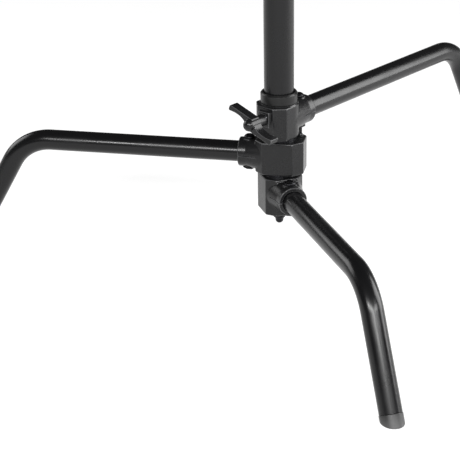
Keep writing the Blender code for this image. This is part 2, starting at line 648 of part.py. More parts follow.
def make_base():
    lug_turn = LUG_SPAN / 2 + GAP / LUG_INNER
    stop_line = LUG_AZIMUTH
    rim = turned("top_hub_rim", rod(HUB_RADIUS - RIM_INSET, HUB_HEIGHT / 4,
                                    HUB_HEIGHT / 2 + RIM_HEIGHT), None, TOP_FRAME)
    boss = block("top_hub_boss",
                 (-TOP_BLOCK_DEPTH - KNOB_BOSS_REACH, -KNOB_BOSS_WIDTH / 2,
                  KNOB_LIFT - KNOB_BOSS_HEIGHT / 2),
                 (-HUB_RADIUS, KNOB_BOSS_WIDTH / 2, KNOB_LIFT + KNOB_BOSS_HEIGHT / 2), None,
                 TOP_FRAME)
    top_hub = make_hub("top", TOP_FRAME, TOP_BLOCK_DEPTH, cheeks=False,
                       lower_lug=stop_line + lug_turn - TOP_LEG_AZIMUTH, extras=(rim, boss))
    second_stop = stop_line + TURN_OPEN
    make_hub("middle", MIDDLE_FRAME, MIDDLE_BLOCK_DEPTH,
             upper_lug=stop_line - lug_turn - TOP_LEG_AZIMUTH - TURN_OPEN,
             lower_lug=second_stop - lug_turn - TOP_LEG_AZIMUTH - TURN_OPEN)
    make_hub("bottom", BOTTOM_FRAME, BOTTOM_BLOCK_DEPTH, skirt=SKIRT_HEIGHT,
             upper_lug=second_stop + lug_turn - TOP_LEG_AZIMUTH + TURN_OPEN)
    make_leg("top", TOP_FRAME, TOP_LEG_REACH, TOP_LEG_HEIGHT)
    make_leg("middle", MIDDLE_FRAME, MIDDLE_LEG_REACH, MIDDLE_LEG_HEIGHT)
    make_leg("bottom", BOTTOM_FRAME, BOTTOM_LEG_REACH, BOTTOM_LEG_HEIGHT)

    sleeve = turned("base_sleeve", ring(SLEEVE_OUTER, SLEEVE_INNER, BASE_CAP_TOP + GAP,
                                        SLEEVE_TOP), BLACK_STEEL, BASE)
    cap_low = BASE_CAP_TOP - BASE_CAP_THICKNESS
    foot_low = cap_low - BASE_FOOT_HEIGHT
    cap_radius = SKIRT_BORE - GAP
    cap_profile = [(0.0, BASE_BOSS_TOP), (SLEEVE_INNER - GAP, BASE_BOSS_TOP),
                   (SLEEVE_INNER - GAP, BASE_CAP_TOP), (cap_radius, BASE_CAP_TOP),
                   (cap_radius, cap_low), (BASE_FOOT_RADIUS, cap_low),
                   (BASE_FOOT_RADIUS, foot_low), (0.0, foot_low)]
    cap = turned("base_cap", cap_profile, BLACK_STEEL, BASE)
    make_centre_screw(cap, foot_low)
    stacks = (("upper_washer", TOP_LEG_HEIGHT, HUB_RADIUS - WASHER_INSET),
              ("middle_washer", MIDDLE_LEG_HEIGHT, HUB_RADIUS - WASHER_INSET),
              ("lower_washer", BOTTOM_LEG_HEIGHT, cap_radius))
    for name, height, outer in stacks:
        turned(name, ring(outer, HUB_BORE, GAP, HUB_GAP - GAP), BLACK_NYLON, BASE,
               (0.0, 0.0, height - HUB_HEIGHT / 2 - HUB_GAP))

    collar_low = HUB_STACK_TOP + RIM_HEIGHT + GAP
    collar_high = collar_low + COLLAR_HEIGHT
    lip_low = SLEEVE_TOP + GAP
    collar = [(COLLAR_OUTER - COLLAR_CHAMFER, collar_high),
              (COLLAR_OUTER, collar_high - COLLAR_CHAMFER), (COLLAR_OUTER, collar_low),
              (HUB_BORE, collar_low), (HUB_BORE, lip_low), (SLEEVE_INNER + GAP, lip_low),
              (SLEEVE_INNER + GAP, collar_high)]
    turned("top_collar", collar, BLACK_NYLON, BASE)

    cross_pin("hub_pin", BASE, TOP_LEG_HEIGHT - HUB_HEIGHT / 4, TOP_LEG_AZIMUTH - math.pi / 2,
              SLEEVE_INNER, HUB_RADIUS, [sleeve, top_hub])
    knob_frame = add_empty("base_knob_frame", BASE, (0.0, 0.0, TOP_LEG_HEIGHT + KNOB_LIFT),
                           (0.0, math.pi / 2, TOP_LEG_AZIMUTH + math.pi))
    make_knob("base", knob_frame, COLUMN_RADIUS, TOP_BLOCK_DEPTH + KNOB_BOSS_REACH,
              [top_hub, sleeve])


# ---------------------------------------------------------------- column and risers
def make_clamp(name, parent, low, tube, tube_radius, next_radius, azimuth):
    """Clamp casting on a tube's upper end, with a plain bush that guides the next tube."""
    high = low + CLAMP_HEIGHT
    outer = tube_radius + CLAMP_WALL
    body = [(0.0, high), (outer - CLAMP_EDGE, high), (outer, high - CLAMP_EDGE),
            (outer, low + CLAMP_EDGE), (outer - CLAMP_EDGE, low), (0.0, low)]
    clamp = turned(name + "_clamp", body, CAST_PAINT, parent)
    bush_low = low + CLAMP_INSERT + GAP
    bush_high = high - CLAMP_LIP - GAP
    knob_height = (bush_low + bush_high) / 2
    frame = add_empty(name + "_knob_frame", parent, (0.0, 0.0, knob_height),
                      (0.0, math.pi / 2, azimuth))
    boss_face = outer + CLAMP_BOSS_REACH
    boss = block(name + "_clamp_boss", (-CLAMP_BOSS_HEIGHT / 2, -CLAMP_BOSS_WIDTH / 2, 0.0),
                 (CLAMP_BOSS_HEIGHT / 2, CLAMP_BOSS_WIDTH / 2, boss_face), None, frame)
    combine(clamp, "UNION", boss)
    bore = tube_radius + GAP
    lip_bore = next_radius + 2 * GAP
    bores = [(0.0, high + RUN_THROUGH), (lip_bore, high + RUN_THROUGH),
             (lip_bore, high - CLAMP_LIP), (bore, high - CLAMP_LIP), (bore, low - RUN_THROUGH),
             (0.0, low - RUN_THROUGH)]
    combine(clamp, "DIFFERENCE", turned(name + "_clamp_bore", bores, None, parent))
    bush = turned(name + "_bush", ring(tube_radius, next_radius + GAP, bush_low, bush_high),
                  BLACK_NYLON, parent)
    cross_pin(name + "_clamp_pin", parent, low + PIN_HEIGHT, azimuth + math.pi / 2,
              tube_radius - TUBE_WALL, outer, [clamp, tube])
    make_knob(name, frame, next_radius, boss_face, [clamp, bush])
    return high


def make_guide(name, parent, low, tube_radius, bore_radius):
    """Guide plug in a riser's lower end, which slides in the bore of the tube outside it."""
    flange_top = low + GUIDE_FLANGE
    plug_top = flange_top + PLUG_LENGTH
    inner = tube_radius - TUBE_WALL - GAP
    profile = [(0.0, plug_top), (inner, plug_top), (inner, flange_top),
               (bore_radius - GAP, flange_top), (bore_radius - GAP, low), (0.0, low)]
    turned(name + "_guide", profile, BLACK_NYLON, parent)
    return flange_top + GAP, plug_top


def make_riser_tube(name, parent, low, high, radius):
    return turned(name + "_tube", ring(radius, radius - TUBE_WALL, low, high), TUBE_PAINT, parent)


def make_column():
    """The lift-off column with its bottom plug and clamp; gives its clamp and plug tops."""
    frame = add_empty("column_axis", BASE)
    tube = make_riser_tube("column", frame, COLUMN_BOTTOM, COLUMN_TOP, COLUMN_RADIUS)
    plug_top = COLUMN_BOTTOM + PLUG_LENGTH
    inner = COLUMN_RADIUS - TUBE_WALL - GAP
    flange_top = COLUMN_PLUG_BOTTOM + PLUG_FLANGE
    profile = [(0.0, plug_top), (inner, plug_top), (inner, flange_top),
               (COLUMN_RADIUS - GAP, flange_top), (COLUMN_RADIUS - GAP, COLUMN_PLUG_BOTTOM),
               (0.0, COLUMN_PLUG_BOTTOM)]
    turned("column_plug", profile, BLACK_NYLON, frame)
    clamp_low = COLUMN_TOP - CLAMP_INSERT
    clamp_high = make_clamp("column", frame, clamp_low, tube, COLUMN_RADIUS, RISER_1_RADIUS,
                            TOP_LEG_AZIMUTH + math.pi)
    return frame, clamp_high, plug_top


def make_riser_1(column_frame, clamp_below, plug_below):
    frame = add_empty("riser_1_axis", column_frame)
    bore = COLUMN_RADIUS - TUBE_WALL
    tube_low, plug_top = make_guide("riser_1", frame, plug_below + GUIDE_SPACE, RISER_1_RADIUS,
                                    bore)
    clamp_low = clamp_below + STAGE_SPACE
    tube = make_riser_tube("riser_1", frame, tube_low, clamp_low + CLAMP_INSERT, RISER_1_RADIUS)
    clamp_high = make_clamp("riser_1", frame, clamp_low, tube, RISER_1_RADIUS, RISER_2_RADIUS,
                            TOP_LEG_AZIMUTH + math.pi + KNOB_AZIMUTH_STEP)
    return frame, clamp_high, plug_top


def make_riser_2(riser_frame, clamp_below, plug_below):
    frame = add_empty("riser_2_axis", riser_frame)
    bore = RISER_1_RADIUS - TUBE_WALL
    tube_low, _ = make_guide("riser_2", frame, plug_below + GUIDE_SPACE, RISER_2_RADIUS, bore)
    tube_high = clamp_below + STAGE_SPACE
    tube = make_riser_tube("riser_2", frame, tube_low, tube_high, RISER_2_RADIUS)
    inner = RISER_2_RADIUS - TUBE_WALL - GAP
    seat = tube_high + GAP
    collar_high = seat + SPIGOT_COLLAR_HEIGHT
    neck_high = collar_high + SPIGOT_NECK_HEIGHT
    pin_high = neck_high + SPIGOT_LENGTH
    groove_low = neck_high + SPIGOT_GROOVE_LOW
    groove_high = groove_low + SPIGOT_GROOVE_LENGTH
    slope = SPIGOT_RADIUS - SPIGOT_GROOVE_RADIUS
    plug_low = tube_high - SPIGOT_PLUG_LENGTH
    profile = [(0.0, pin_high), (SPIGOT_RADIUS - SPIGOT_EDGE, pin_high),
               (SPIGOT_RADIUS, pin_high - SPIGOT_EDGE), (SPIGOT_RADIUS, groove_high),
               (SPIGOT_GROOVE_RADIUS, groove_high - slope),
               (SPIGOT_GROOVE_RADIUS, groove_low + slope), (SPIGOT_RADIUS, groove_low),
               (SPIGOT_RADIUS, neck_high), (SPIGOT_NECK_RADIUS, neck_high),
               (SPIGOT_NECK_RADIUS, collar_high),
               (SPIGOT_COLLAR_RADIUS - SPIGOT_EDGE, collar_high),
               (SPIGOT_COLLAR_RADIUS, collar_high - SPIGOT_EDGE), (SPIGOT_COLLAR_RADIUS, seat),
               (inner, seat), (inner, plug_low), (0.0, plug_low)]
    spigot = turned("top_spigot", profile, BRIGHT_STEEL, frame, steps=SPIGOT_STEPS)
    cross_pin("spigot_pin", frame, tube_high - SPIGOT_PLUG_LENGTH / 2, TOP_LEG_AZIMUTH,
              -RISER_2_RADIUS, RISER_2_RADIUS, [tube, spigot])


def centre_on_footprint():
    """Moves the whole stand so that its box is centred on the origin's vertical axis."""
    depsgraph = bpy.context.evaluated_depsgraph_get()
    corners = []
    for part in PARTS.objects:
        if part.type != "MESH":
            continue
        shown = part.evaluated_get(depsgraph)
        corners += [shown.matrix_world @ vertex.co for vertex in shown.data.vertices]
    low = Vector([min(corner[axis] for corner in corners) for axis in range(3)])
    high = Vector([max(corner[axis] for corner in corners) for axis in range(3)])
    middle = (low + high) / 2
    ROOT.location = (-middle.x, -middle.y, 0.0)


def main():
    make_base()
    make_riser_2(*make_riser_1(*make_column()))
    weld_seams()
    centre_on_footprint()
    for part in PARTS.objects:
        if part.type == "MESH":
            part.data.shade_smooth()
            part.data.set_sharp_from_angle(angle=SHARP_ANGLE)


main()
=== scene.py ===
"""Looks of a turtle-base C stand: powder-coated tubes, painted castings, steel screws and a grip pin."""

from __future__ import annotations

import json
import logging
import math
from dataclasses import dataclass, field
from enum import Enum
from typing import Any, Iterable, Sequence

import bmesh
import bpy
from mathutils import Matrix, Vector

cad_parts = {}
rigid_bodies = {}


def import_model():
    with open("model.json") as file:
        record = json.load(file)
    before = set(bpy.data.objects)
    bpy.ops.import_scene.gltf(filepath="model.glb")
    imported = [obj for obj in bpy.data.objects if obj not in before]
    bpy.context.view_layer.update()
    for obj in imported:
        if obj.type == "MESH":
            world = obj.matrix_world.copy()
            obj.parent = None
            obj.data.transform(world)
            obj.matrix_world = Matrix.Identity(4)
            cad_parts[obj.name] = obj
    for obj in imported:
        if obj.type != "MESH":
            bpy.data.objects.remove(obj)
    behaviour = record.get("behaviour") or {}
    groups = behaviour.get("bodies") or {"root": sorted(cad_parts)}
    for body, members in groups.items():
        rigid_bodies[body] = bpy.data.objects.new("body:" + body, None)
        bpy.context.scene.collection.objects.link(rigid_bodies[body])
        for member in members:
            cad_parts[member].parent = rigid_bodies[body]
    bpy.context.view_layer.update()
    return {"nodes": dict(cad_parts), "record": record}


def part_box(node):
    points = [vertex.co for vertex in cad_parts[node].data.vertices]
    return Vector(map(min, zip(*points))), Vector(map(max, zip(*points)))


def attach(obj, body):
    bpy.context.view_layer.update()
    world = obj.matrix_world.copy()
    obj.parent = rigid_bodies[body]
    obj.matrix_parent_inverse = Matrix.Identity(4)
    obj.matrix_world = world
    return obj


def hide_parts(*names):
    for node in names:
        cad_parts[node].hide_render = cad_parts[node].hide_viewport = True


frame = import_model()
LOG = logging.getLogger("c_stand")

Point = tuple[float, float]
GAP = 0.0003
COLUMN_LOW, COLUMN_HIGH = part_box("column_tube")
AXIS_X = (COLUMN_LOW[0] + COLUMN_HIGH[0]) / 2
AXIS_Y = (COLUMN_LOW[1] + COLUMN_HIGH[1]) / 2
VOXEL = 0.0006


# ------------------------------------------------------------------ node helper
def srgb(code: str) -> tuple[float, float, float, float]:
    """Turns an sRGB hex colour into linear RGBA.

    Args:
        code: six hex digits.
    Returns:
        The linear colour with full alpha.
    """
    levels = [int(code[i:i + 2], 16) / 255 for i in (0, 2, 4)]
    linear = [v / 12.92 if v <= 0.04045 else ((v + 0.055) / 1.055) ** 2.4 for v in levels]
    return (linear[0], linear[1], linear[2], 1.0)


def add_node(tree: bpy.types.NodeTree, kind: str, settings: dict[str, Any] | None = None,
             inputs: dict[Any, Any] | None = None) -> bpy.types.Node:
    """Adds a node with its settings, socket values and links.

    Args:
        tree: the tree to add to.
        kind: the node's type name.
        settings: attribute values.
        inputs: socket name or index to a value, or to an output socket to link from.
    Returns:
        The new node.
    """
    node = tree.nodes.new(kind)
    for name, value in (settings or {}).items():
        setattr(node, name, value)
    for key, value in (inputs or {}).items():
        if isinstance(value, bpy.types.NodeSocket):
            tree.links.new(value, node.inputs[key])
        else:
            node.inputs[key].default_value = value
    return node


# ------------------------------------------------------------------ finishes
@dataclass(frozen=True)
class Finish:
    """A surface finish with fine relief, slight variation and a painted highlight along its convex
    edges.

    The relief is a fine grain on a longer wave. Both are given as real lengths in metres.
    """

    name: str
    colour: str
    # Lighter second colour: the painted highlight on convex edges, also used for a faint grain haze.
    highlight_and_haze: str
    roughness: float
    metallic: float
    specular: float
    grain: float
    grain_depth: float
    wave: float
    wave_depth: float
    # Strength of the painted edge highlight.
    edge_highlight: float = 0.0
    rough_spread: float = 0.06

    def build(self) -> bpy.types.Material:
        """Makes the material.

        Returns:
            The node material.
        """
        material = bpy.data.materials.new(self.name)
        material.use_nodes = True
        tree = material.node_tree
        shader = tree.nodes["Principled BSDF"]
        shader.inputs["Metallic"].default_value = self.metallic
        shader.inputs["Specular IOR Level"].default_value = self.specular
        place = add_node(tree, "ShaderNodeTexCoord").outputs["Object"]
        grain = add_node(tree, "ShaderNodeTexNoise", {"noise_dimensions": "3D"},
                         {"Vector": place, "Scale": 1.0 / self.grain, "Detail": 3.0,
                          "Roughness": 0.55})
        wave = add_node(tree, "ShaderNodeTexNoise", {"noise_dimensions": "3D"},
                        {"Vector": place, "Scale": 1.0 / self.wave, "Detail": 2.0,
                         "Roughness": 0.5})
        cloud = add_node(tree, "ShaderNodeTexNoise", {"noise_dimensions": "3D"},
                         {"Vector": place, "Scale": 18.0, "Detail": 4.0, "Roughness": 0.6})
        low = add_node(tree, "ShaderNodeBump", {}, {"Height": wave.outputs["Fac"], "Strength": 1.0,
                                                    "Distance": self.wave_depth})
        high = add_node(tree, "ShaderNodeBump", {}, {"Height": grain.outputs["Fac"],
                                                     "Strength": 1.0,
                                                     "Distance": self.grain_depth,
                                                     "Normal": low.outputs["Normal"]})
        tree.links.new(high.outputs["Normal"], shader.inputs["Normal"])
        rough = add_node(tree, "ShaderNodeMapRange", {},
                         {"Value": cloud.outputs["Fac"], "From Min": 0.3, "From Max": 0.7,
                          "To Min": self.roughness - self.rough_spread,
                          "To Max": self.roughness + self.rough_spread})
        tree.links.new(rough.outputs["Result"], shader.inputs["Roughness"])
        self._colour(tree, shader, grain.outputs["Fac"], cloud.outputs["Fac"])
        return material

    def _colour(self, tree: bpy.types.NodeTree, shader: bpy.types.Node,
                grain: bpy.types.NodeSocket, cloud: bpy.types.NodeSocket) -> None:
        """Mixes the paint with a lighter colour: a painted highlight along convex edges, broken up by
        clouds, and a faint haze from the grain.
        """
        # Painted highlight: convex edges, found by pointiness, are lightened in patches as if they
        # caught the lamps.
        point = add_node(tree, "ShaderNodeNewGeometry").outputs["Pointiness"]
        edge = add_node(tree, "ShaderNodeMapRange", {},
                        {"Value": point, "From Min": 0.515, "From Max": 0.57, "To Min": 0.0,
                         "To Max": self.edge_highlight})
        broken_highlight = add_node(tree, "ShaderNodeMath", {"operation": "MULTIPLY"},
                          {0: edge.outputs["Result"], 1: cloud})
        haze = add_node(tree, "ShaderNodeMapRange", {},
                        {"Value": grain, "From Min": 0.35, "From Max": 0.75, "To Min": 0.0,
                         "To Max": 0.03})
        total = add_node(tree, "ShaderNodeMath", {"operation": "ADD", "use_clamp": True},
                         {0: broken_highlight.outputs[0], 1: haze.outputs["Result"]})
        mix = add_node(tree, "ShaderNodeMix", {"data_type": "RGBA"},
                       {"Factor": total.outputs[0], 6: srgb(self.colour), 7: srgb(self.highlight_and_haze)})
        tree.links.new(mix.outputs[2], shader.inputs["Base Color"])


class Kind(Enum):
    """The stand's finishes.

    TUBE: satin powder coat on drawn steel tube; smooth, so lights show as long clean stripes.
    CASTING: matt powder coat over cast alloy; a fine sandy grain breaks up the light.
    BLACK_SCREW: blackened steel; dark metal with a soft sheen.
    BRIGHT: zinc-plated steel; grey metal with fine turning marks.
    NYLON: moulded black nylon; matt, with a faint eggshell.
    """

    # Each finish's second colour is its painted edge highlight and haze; castings and nylon get a strong
    # one.
    TUBE = Finish("satin_powder_coat_on_tube", "0c0c0d", "2c2c2d", 0.25, 0.0, 0.30,
                  0.0011, 0.000005, 0.009, 0.000012)
    CASTING = Finish("satin_powder_coat_on_casting", "0a0a0b", "98989a", 0.27, 0.0, 0.30,
                     0.0009, 0.000018, 0.007, 0.00005, 0.85)
    BLACK_SCREW = Finish("blackened_steel", "2b2b2d", "55555a", 0.36, 1.0, 0.5,
                         0.0006, 0.000012, 0.004, 0.00002, 0.35)
    BRIGHT = Finish("zinc_plated_steel", "b4b6ba", "d0d2d6", 0.27, 1.0, 0.5,
                    0.0005, 0.000008, 0.005, 0.00002, 0.2)
    NYLON = Finish("moulded_black_nylon", "0d0d0d", "6c6c6c", 0.34, 0.0, 0.30,
                   0.0010, 0.000016, 0.005, 0.00003, 0.6)

    def material(self) -> bpy.types.Material:
        """Gives the finish's material, made the first time."""
        found = bpy.data.materials.get(self.value.name)
        return found if found is not None else self.value.build()


SLOTS = {Kind.TUBE: "tube_paint", Kind.CASTING: "cast_paint", Kind.BLACK_SCREW: "black_steel",
         Kind.BRIGHT: "bright_steel", Kind.NYLON: "black_nylon"}


# ------------------------------------------------------------------ mesh helpers
def object_from(shape: bmesh.types.BMesh, name: str) -> bpy.types.Object:
    """Puts a bmesh into a new object in the scene.

    Args:
        shape: the bmesh, which is freed.
        name: the object's name.
    Returns:
        The new object.
    """
    mesh = bpy.data.meshes.new(name)
    shape.to_mesh(mesh)
    shape.free()
    made = bpy.data.objects.new(name, mesh)
    bpy.context.scene.collection.objects.link(made)
    return made


def rounded(profile: Sequence[Point], radius: float, steps: int = 4) -> list[Point]:
    """Rounds a profile's inner corners with short arcs.

    Args:
        profile: the corner points, whose ends stay sharp.
        radius: the arc radius, limited by the neighbouring edges.
        steps: pieces in each arc.
    Returns:
        The denser profile.
    """
    done: list[Point] = [profile[0]]
    for before, here, after in zip(profile, profile[1:], profile[2:]):
        back = Vector((before[0] - here[0], before[1] - here[1]))
        ahead = Vector((after[0] - here[0], after[1] - here[1]))
        if back.length < 1e-9 or ahead.length < 1e-9:
            done.append(here)
            continue
        half = back.angle(ahead) / 2
        reach = min(radius / max(math.tan(half), 0.05), 0.45 * back.length, 0.45 * ahead.length)
        start = Vector(here) + back.normalized() * reach
        end = Vector(here) + ahead.normalized() * reach
        for index in range(steps + 1):
            t = index / steps
            spot = start.lerp(Vector(here), t).lerp(Vector(here).lerp(end, t), t)
            done.append((spot.x, spot.y))
    done.append(profile[-1])
    return done


def turned(name: str, profile: Sequence[Point], sides: int = 96) -> bpy.types.Object:
    """Turns a profile of (radius, height) points, outer side downwards, round local Z.

    Args:
        name: the object's name.
        profile: the points; a profile that leaves the axis clear is closed into a ring.
        sides: faces round the axis.
    Returns:
        A closed object.
    """
    shape = bmesh.new()
    rings = []
    for radius, height in profile:
        if radius < 1e-7:
            rings.append([shape.verts.new((0.0, 0.0, height))])
            continue
        angles = [math.tau * index / sides for index in range(sides)]
        rings.append([shape.verts.new((radius * math.cos(a), radius * math.sin(a), height))
                      for a in angles])
    pairs = list(zip(rings, rings[1:]))
    if len(rings[0]) > 1:
        pairs.append((rings[-1], rings[0]))
    for upper, lower in pairs:
        for index in range(sides):
            after = (index + 1) % sides
            corners = [upper[index % len(upper)], lower[index % len(lower)],
                       lower[after % len(lower)], upper[after % len(upper)]]
            unique = list(dict.fromkeys(corners))
            if len(unique) > 2:
                shape.faces.new(unique)
    bmesh.ops.recalc_face_normals(shape, faces=shape.faces)
    return object_from(shape, name)


def prism(name: str, outline: Sequence[Point], low: float, high: float) -> bpy.types.Object:
    """A flat outline in XY, given height along Z.

    Args:
        name: the object's name.
        outline: the corner points, counter-clockwise.
        low: bottom height.
        high: top height.
    Returns:
        A closed object.
    """
    shape = bmesh.new()
    face = shape.faces.new([shape.verts.new((x, y, low)) for x, y in outline])
    raised = bmesh.ops.extrude_face_region(shape, geom=[face])
    tops = [item for item in raised["geom"] if isinstance(item, bmesh.types.BMVert)]
    bmesh.ops.translate(shape, verts=tops, vec=(0.0, 0.0, high - low))
    bmesh.ops.recalc_face_normals(shape, faces=shape.faces)
    return object_from(shape, name)


def box(name: str, low: Sequence[float], high: Sequence[float]) -> bpy.types.Object:
    """A box between two corners, used as a core or a cutter."""
    return prism(name, [(low[0], low[1]), (high[0], low[1]), (high[0], high[1]),
                        (low[0], high[1])], low[2], high[2])


def arc(centre: Point, radius: float, start: float, end: float, steps: int) -> list[Point]:
    """Points on an arc, both ends included."""
    turns = [start + (end - start) * index / steps for index in range(steps + 1)]
    return [(centre[0] + radius * math.cos(t), centre[1] + radius * math.sin(t)) for t in turns]


def moved(piece: bpy.types.Object, matrix: Matrix) -> bpy.types.Object:
    """Moves a piece by changing its mesh."""
    piece.data.transform(matrix)
    return piece


def baked(piece: bpy.types.Object) -> bpy.types.Object:
    """Turns a piece and its modifiers into a plain mesh.

    Args:
        piece: the object with modifiers, which is removed.
    Returns:
        A new object with the same name.
    """
    depsgraph = bpy.context.evaluated_depsgraph_get()
    mesh = bpy.data.meshes.new_from_object(piece.evaluated_get(depsgraph))
    name = piece.name
    bpy.data.objects.remove(piece, do_unlink=True)
    made = bpy.data.objects.new(name, mesh)
    bpy.context.scene.collection.objects.link(made)
    return made


def cast(name: str, cores: Iterable[bpy.types.Object], smooth: int = 6,
         voxel: float = VOXEL) -> bpy.types.Object:
    """Fuses overlapping cores into one body with the soft edges and fillets of a casting.

    Args:
        name: the new object's name.
        cores: closed objects, which are removed.
        smooth: passes of smoothing, each of which rounds the edges further.
        voxel: grid size.
    Returns:
        The fused body.
    """
    shape = bmesh.new()
    for core in list(cores):
        shape.from_mesh(core.data)
        bpy.data.objects.remove(core, do_unlink=True)
    body = object_from(shape, name)
    remesh = body.modifiers.new("grid", "REMESH")
    remesh.mode = "VOXEL"
    remesh.voxel_size = voxel
    soften = body.modifiers.new("soften", "SMOOTH")
    soften.factor = 0.5
    soften.iterations = smooth
    return baked(body)


def softened(body: bpy.types.Object, width: float) -> bpy.types.Object:
    """Rounds the square edges of a plain body.

    Args:
        body: the object, changed in place.
        width: how far the rounding reaches from each edge.
    Returns:
        The same object.
    """
    bevel = body.modifiers.new("soft_edges", "BEVEL")
    bevel.width = width
    bevel.segments = 3
    bevel.limit_method = "ANGLE"
    bevel.angle_limit = math.radians(60.0)
    return baked(body)


def carved(body: bpy.types.Object, cutters: Iterable[bpy.types.Object]) -> bpy.types.Object:
    """Cuts closed cutters out of a body.

    Args:
        body: the object to cut.
        cutters: closed objects, which are removed.
    Returns:
        The cut object.
    """
    used = list(cutters)
    for cutter in used:
        step = body.modifiers.new("cut", "BOOLEAN")
        step.operation = "DIFFERENCE"
        step.solver = "MANIFOLD"
        step.object = cutter
    done = baked(body)
    for cutter in used:
        bpy.data.objects.remove(cutter, do_unlink=True)
    return done


def clipped(piece: bpy.types.Object, limit: float) -> bpy.types.Object:
    """Cuts a piece flat above and below, at equal heights.

    Args:
        piece: a closed object.
        limit: the height kept on each side of z = 0.
    Returns:
        The same object.
    """
    shape = bmesh.new()
    shape.from_mesh(piece.data)
    for side in (1.0, -1.0):
        geometry = shape.verts[:] + shape.edges[:] + shape.faces[:]
        cut = bmesh.ops.bisect_plane(shape, geom=geometry, plane_co=(0.0, 0.0, side * limit),
                                     plane_no=(0.0, 0.0, side), clear_outer=True)
        edges = [item for item in cut["geom_cut"] if isinstance(item, bmesh.types.BMEdge)]
        bmesh.ops.holes_fill(shape, edges=edges)
    bmesh.ops.recalc_face_normals(shape, faces=shape.faces)
    shape.to_mesh(piece.data)
    shape.free()
    return piece


ALONG_X = Matrix.Rotation(math.pi / 2, 4, "Y")


def on_axis(height: float, azimuth: float = 0.0) -> Matrix:
    """The frame on the column axis at a height, turned by an azimuth."""
    return Matrix.Translation((AXIS_X, AXIS_Y, height)) @ Matrix.Rotation(azimuth, 4, "Z")


def finish(piece: bpy.types.Object, name: str, kind: Kind, body: str, nodes: Sequence[str] = (),
           matrix: Matrix | None = None, crease: float = 35.0) -> bpy.types.Object:
    """Places, paints and mounts a finished piece.

    Args:
        piece: the object, at the origin.
        name: its final name.
        kind: its finish.
        body: the body it rides on.
        nodes: the plain solids that it stands for.
        matrix: where it goes.
        crease: the angle in degrees above which an edge stays sharp.
    Returns:
        The piece.
    """
    if matrix is not None:
        moved(piece, matrix)
    piece.name = name
    piece.data.name = name
    piece.data.materials.clear()
    piece.data.materials.append(kind.material())
    piece.data.shade_smooth()
    piece.data.set_sharp_from_angle(angle=math.radians(crease))
    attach(piece, body)
    if nodes:
        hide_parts(*nodes)
    LOG.info("%s: %d faces on %s", name, len(piece.data.polygons), body)
    return piece


# ------------------------------------------------------------------ geometry nodes
class PipeNodes:
    """A node tree that rounds the corners of a path and runs a round tube along it."""

    def __init__(self) -> None:
        """Builds the tree and keeps its input identifiers."""
        tree = bpy.data.node_groups.new("bent_tube", "GeometryNodeTree")
        face = tree.interface
        face.new_socket("Path", in_out="INPUT", socket_type="NodeSocketGeometry")
        self.ids = {}
        for name, kind in (("Tube radius", "NodeSocketFloat"), ("Bend radius", "NodeSocketFloat"),
                           ("Bend steps", "NodeSocketInt"), ("Sides", "NodeSocketInt"),
                           ("Paint", "NodeSocketMaterial")):
            made = face.new_socket(name, in_out="INPUT", socket_type=kind)
            self.ids[name] = made.identifier
        face.new_socket("Tube", in_out="OUTPUT", socket_type="NodeSocketGeometry")
        source = add_node(tree, "NodeGroupInput").outputs
        bend = add_node(tree, "GeometryNodeFilletCurve", {"mode": "POLY"},
                        {"Curve": source["Path"], "Radius": source["Bend radius"],
                         "Count": source["Bend steps"]})
        ring = add_node(tree, "GeometryNodeCurvePrimitiveCircle", {"mode": "RADIUS"},
                        {"Resolution": source["Sides"], "Radius": source["Tube radius"]})
        tube = add_node(tree, "GeometryNodeCurveToMesh", {},
                        {"Curve": bend.outputs["Curve"], "Profile Curve": ring.outputs["Curve"],
                         "Fill Caps": True})
        real = add_node(tree, "GeometryNodeRealizeInstances", {},
                        {"Geometry": tube.outputs["Mesh"]})
        paint = add_node(tree, "GeometryNodeSetMaterial", {},
                         {"Geometry": real.outputs["Geometry"], "Material": source["Paint"]})
        add_node(tree, "NodeGroupOutput", {}, {"Tube": paint.outputs["Geometry"]})
        self.tree = tree

    def run(self, name: str, path: Sequence[Sequence[float]], radius: float, bend: float,
            sides: int = 72, steps: int = 28) -> bpy.types.Object:
        """Makes a tube along a path.

        Args:
            name: the object's name.
            path: the corner points.
            radius: the tube's outer radius.
            bend: the radius of the bends' centre line.
            sides: faces round the tube.
            steps: pieces in each bend.
        Returns:
            A closed mesh object.
        """
        curve = bpy.data.curves.new(name, "CURVE")
        curve.dimensions = "3D"
        spline = curve.splines.new("POLY")
        spline.points.add(len(path) - 1)
        for point, place in zip(spline.points, path):
            point.co = (*place, 1.0)
        made = bpy.data.objects.new(name, curve)
        bpy.context.scene.collection.objects.link(made)
        step = made.modifiers.new("pipe", "NODES")
        step.node_group = self.tree
        step[self.ids["Tube radius"]] = radius
        step[self.ids["Bend radius"]] = bend
        step[self.ids["Bend steps"]] = steps
        step[self.ids["Sides"]] = sides
        step[self.ids["Paint"]] = Kind.TUBE.material()
        done = baked(made)
        shape = bmesh.new()
        shape.from_mesh(done.data)
        bmesh.ops.remove_doubles(shape, verts=shape.verts, dist=1e-7)
        bmesh.ops.recalc_face_normals(shape, faces=shape.faces)
        shape.to_mesh(done.data)
        shape.free()
        return done


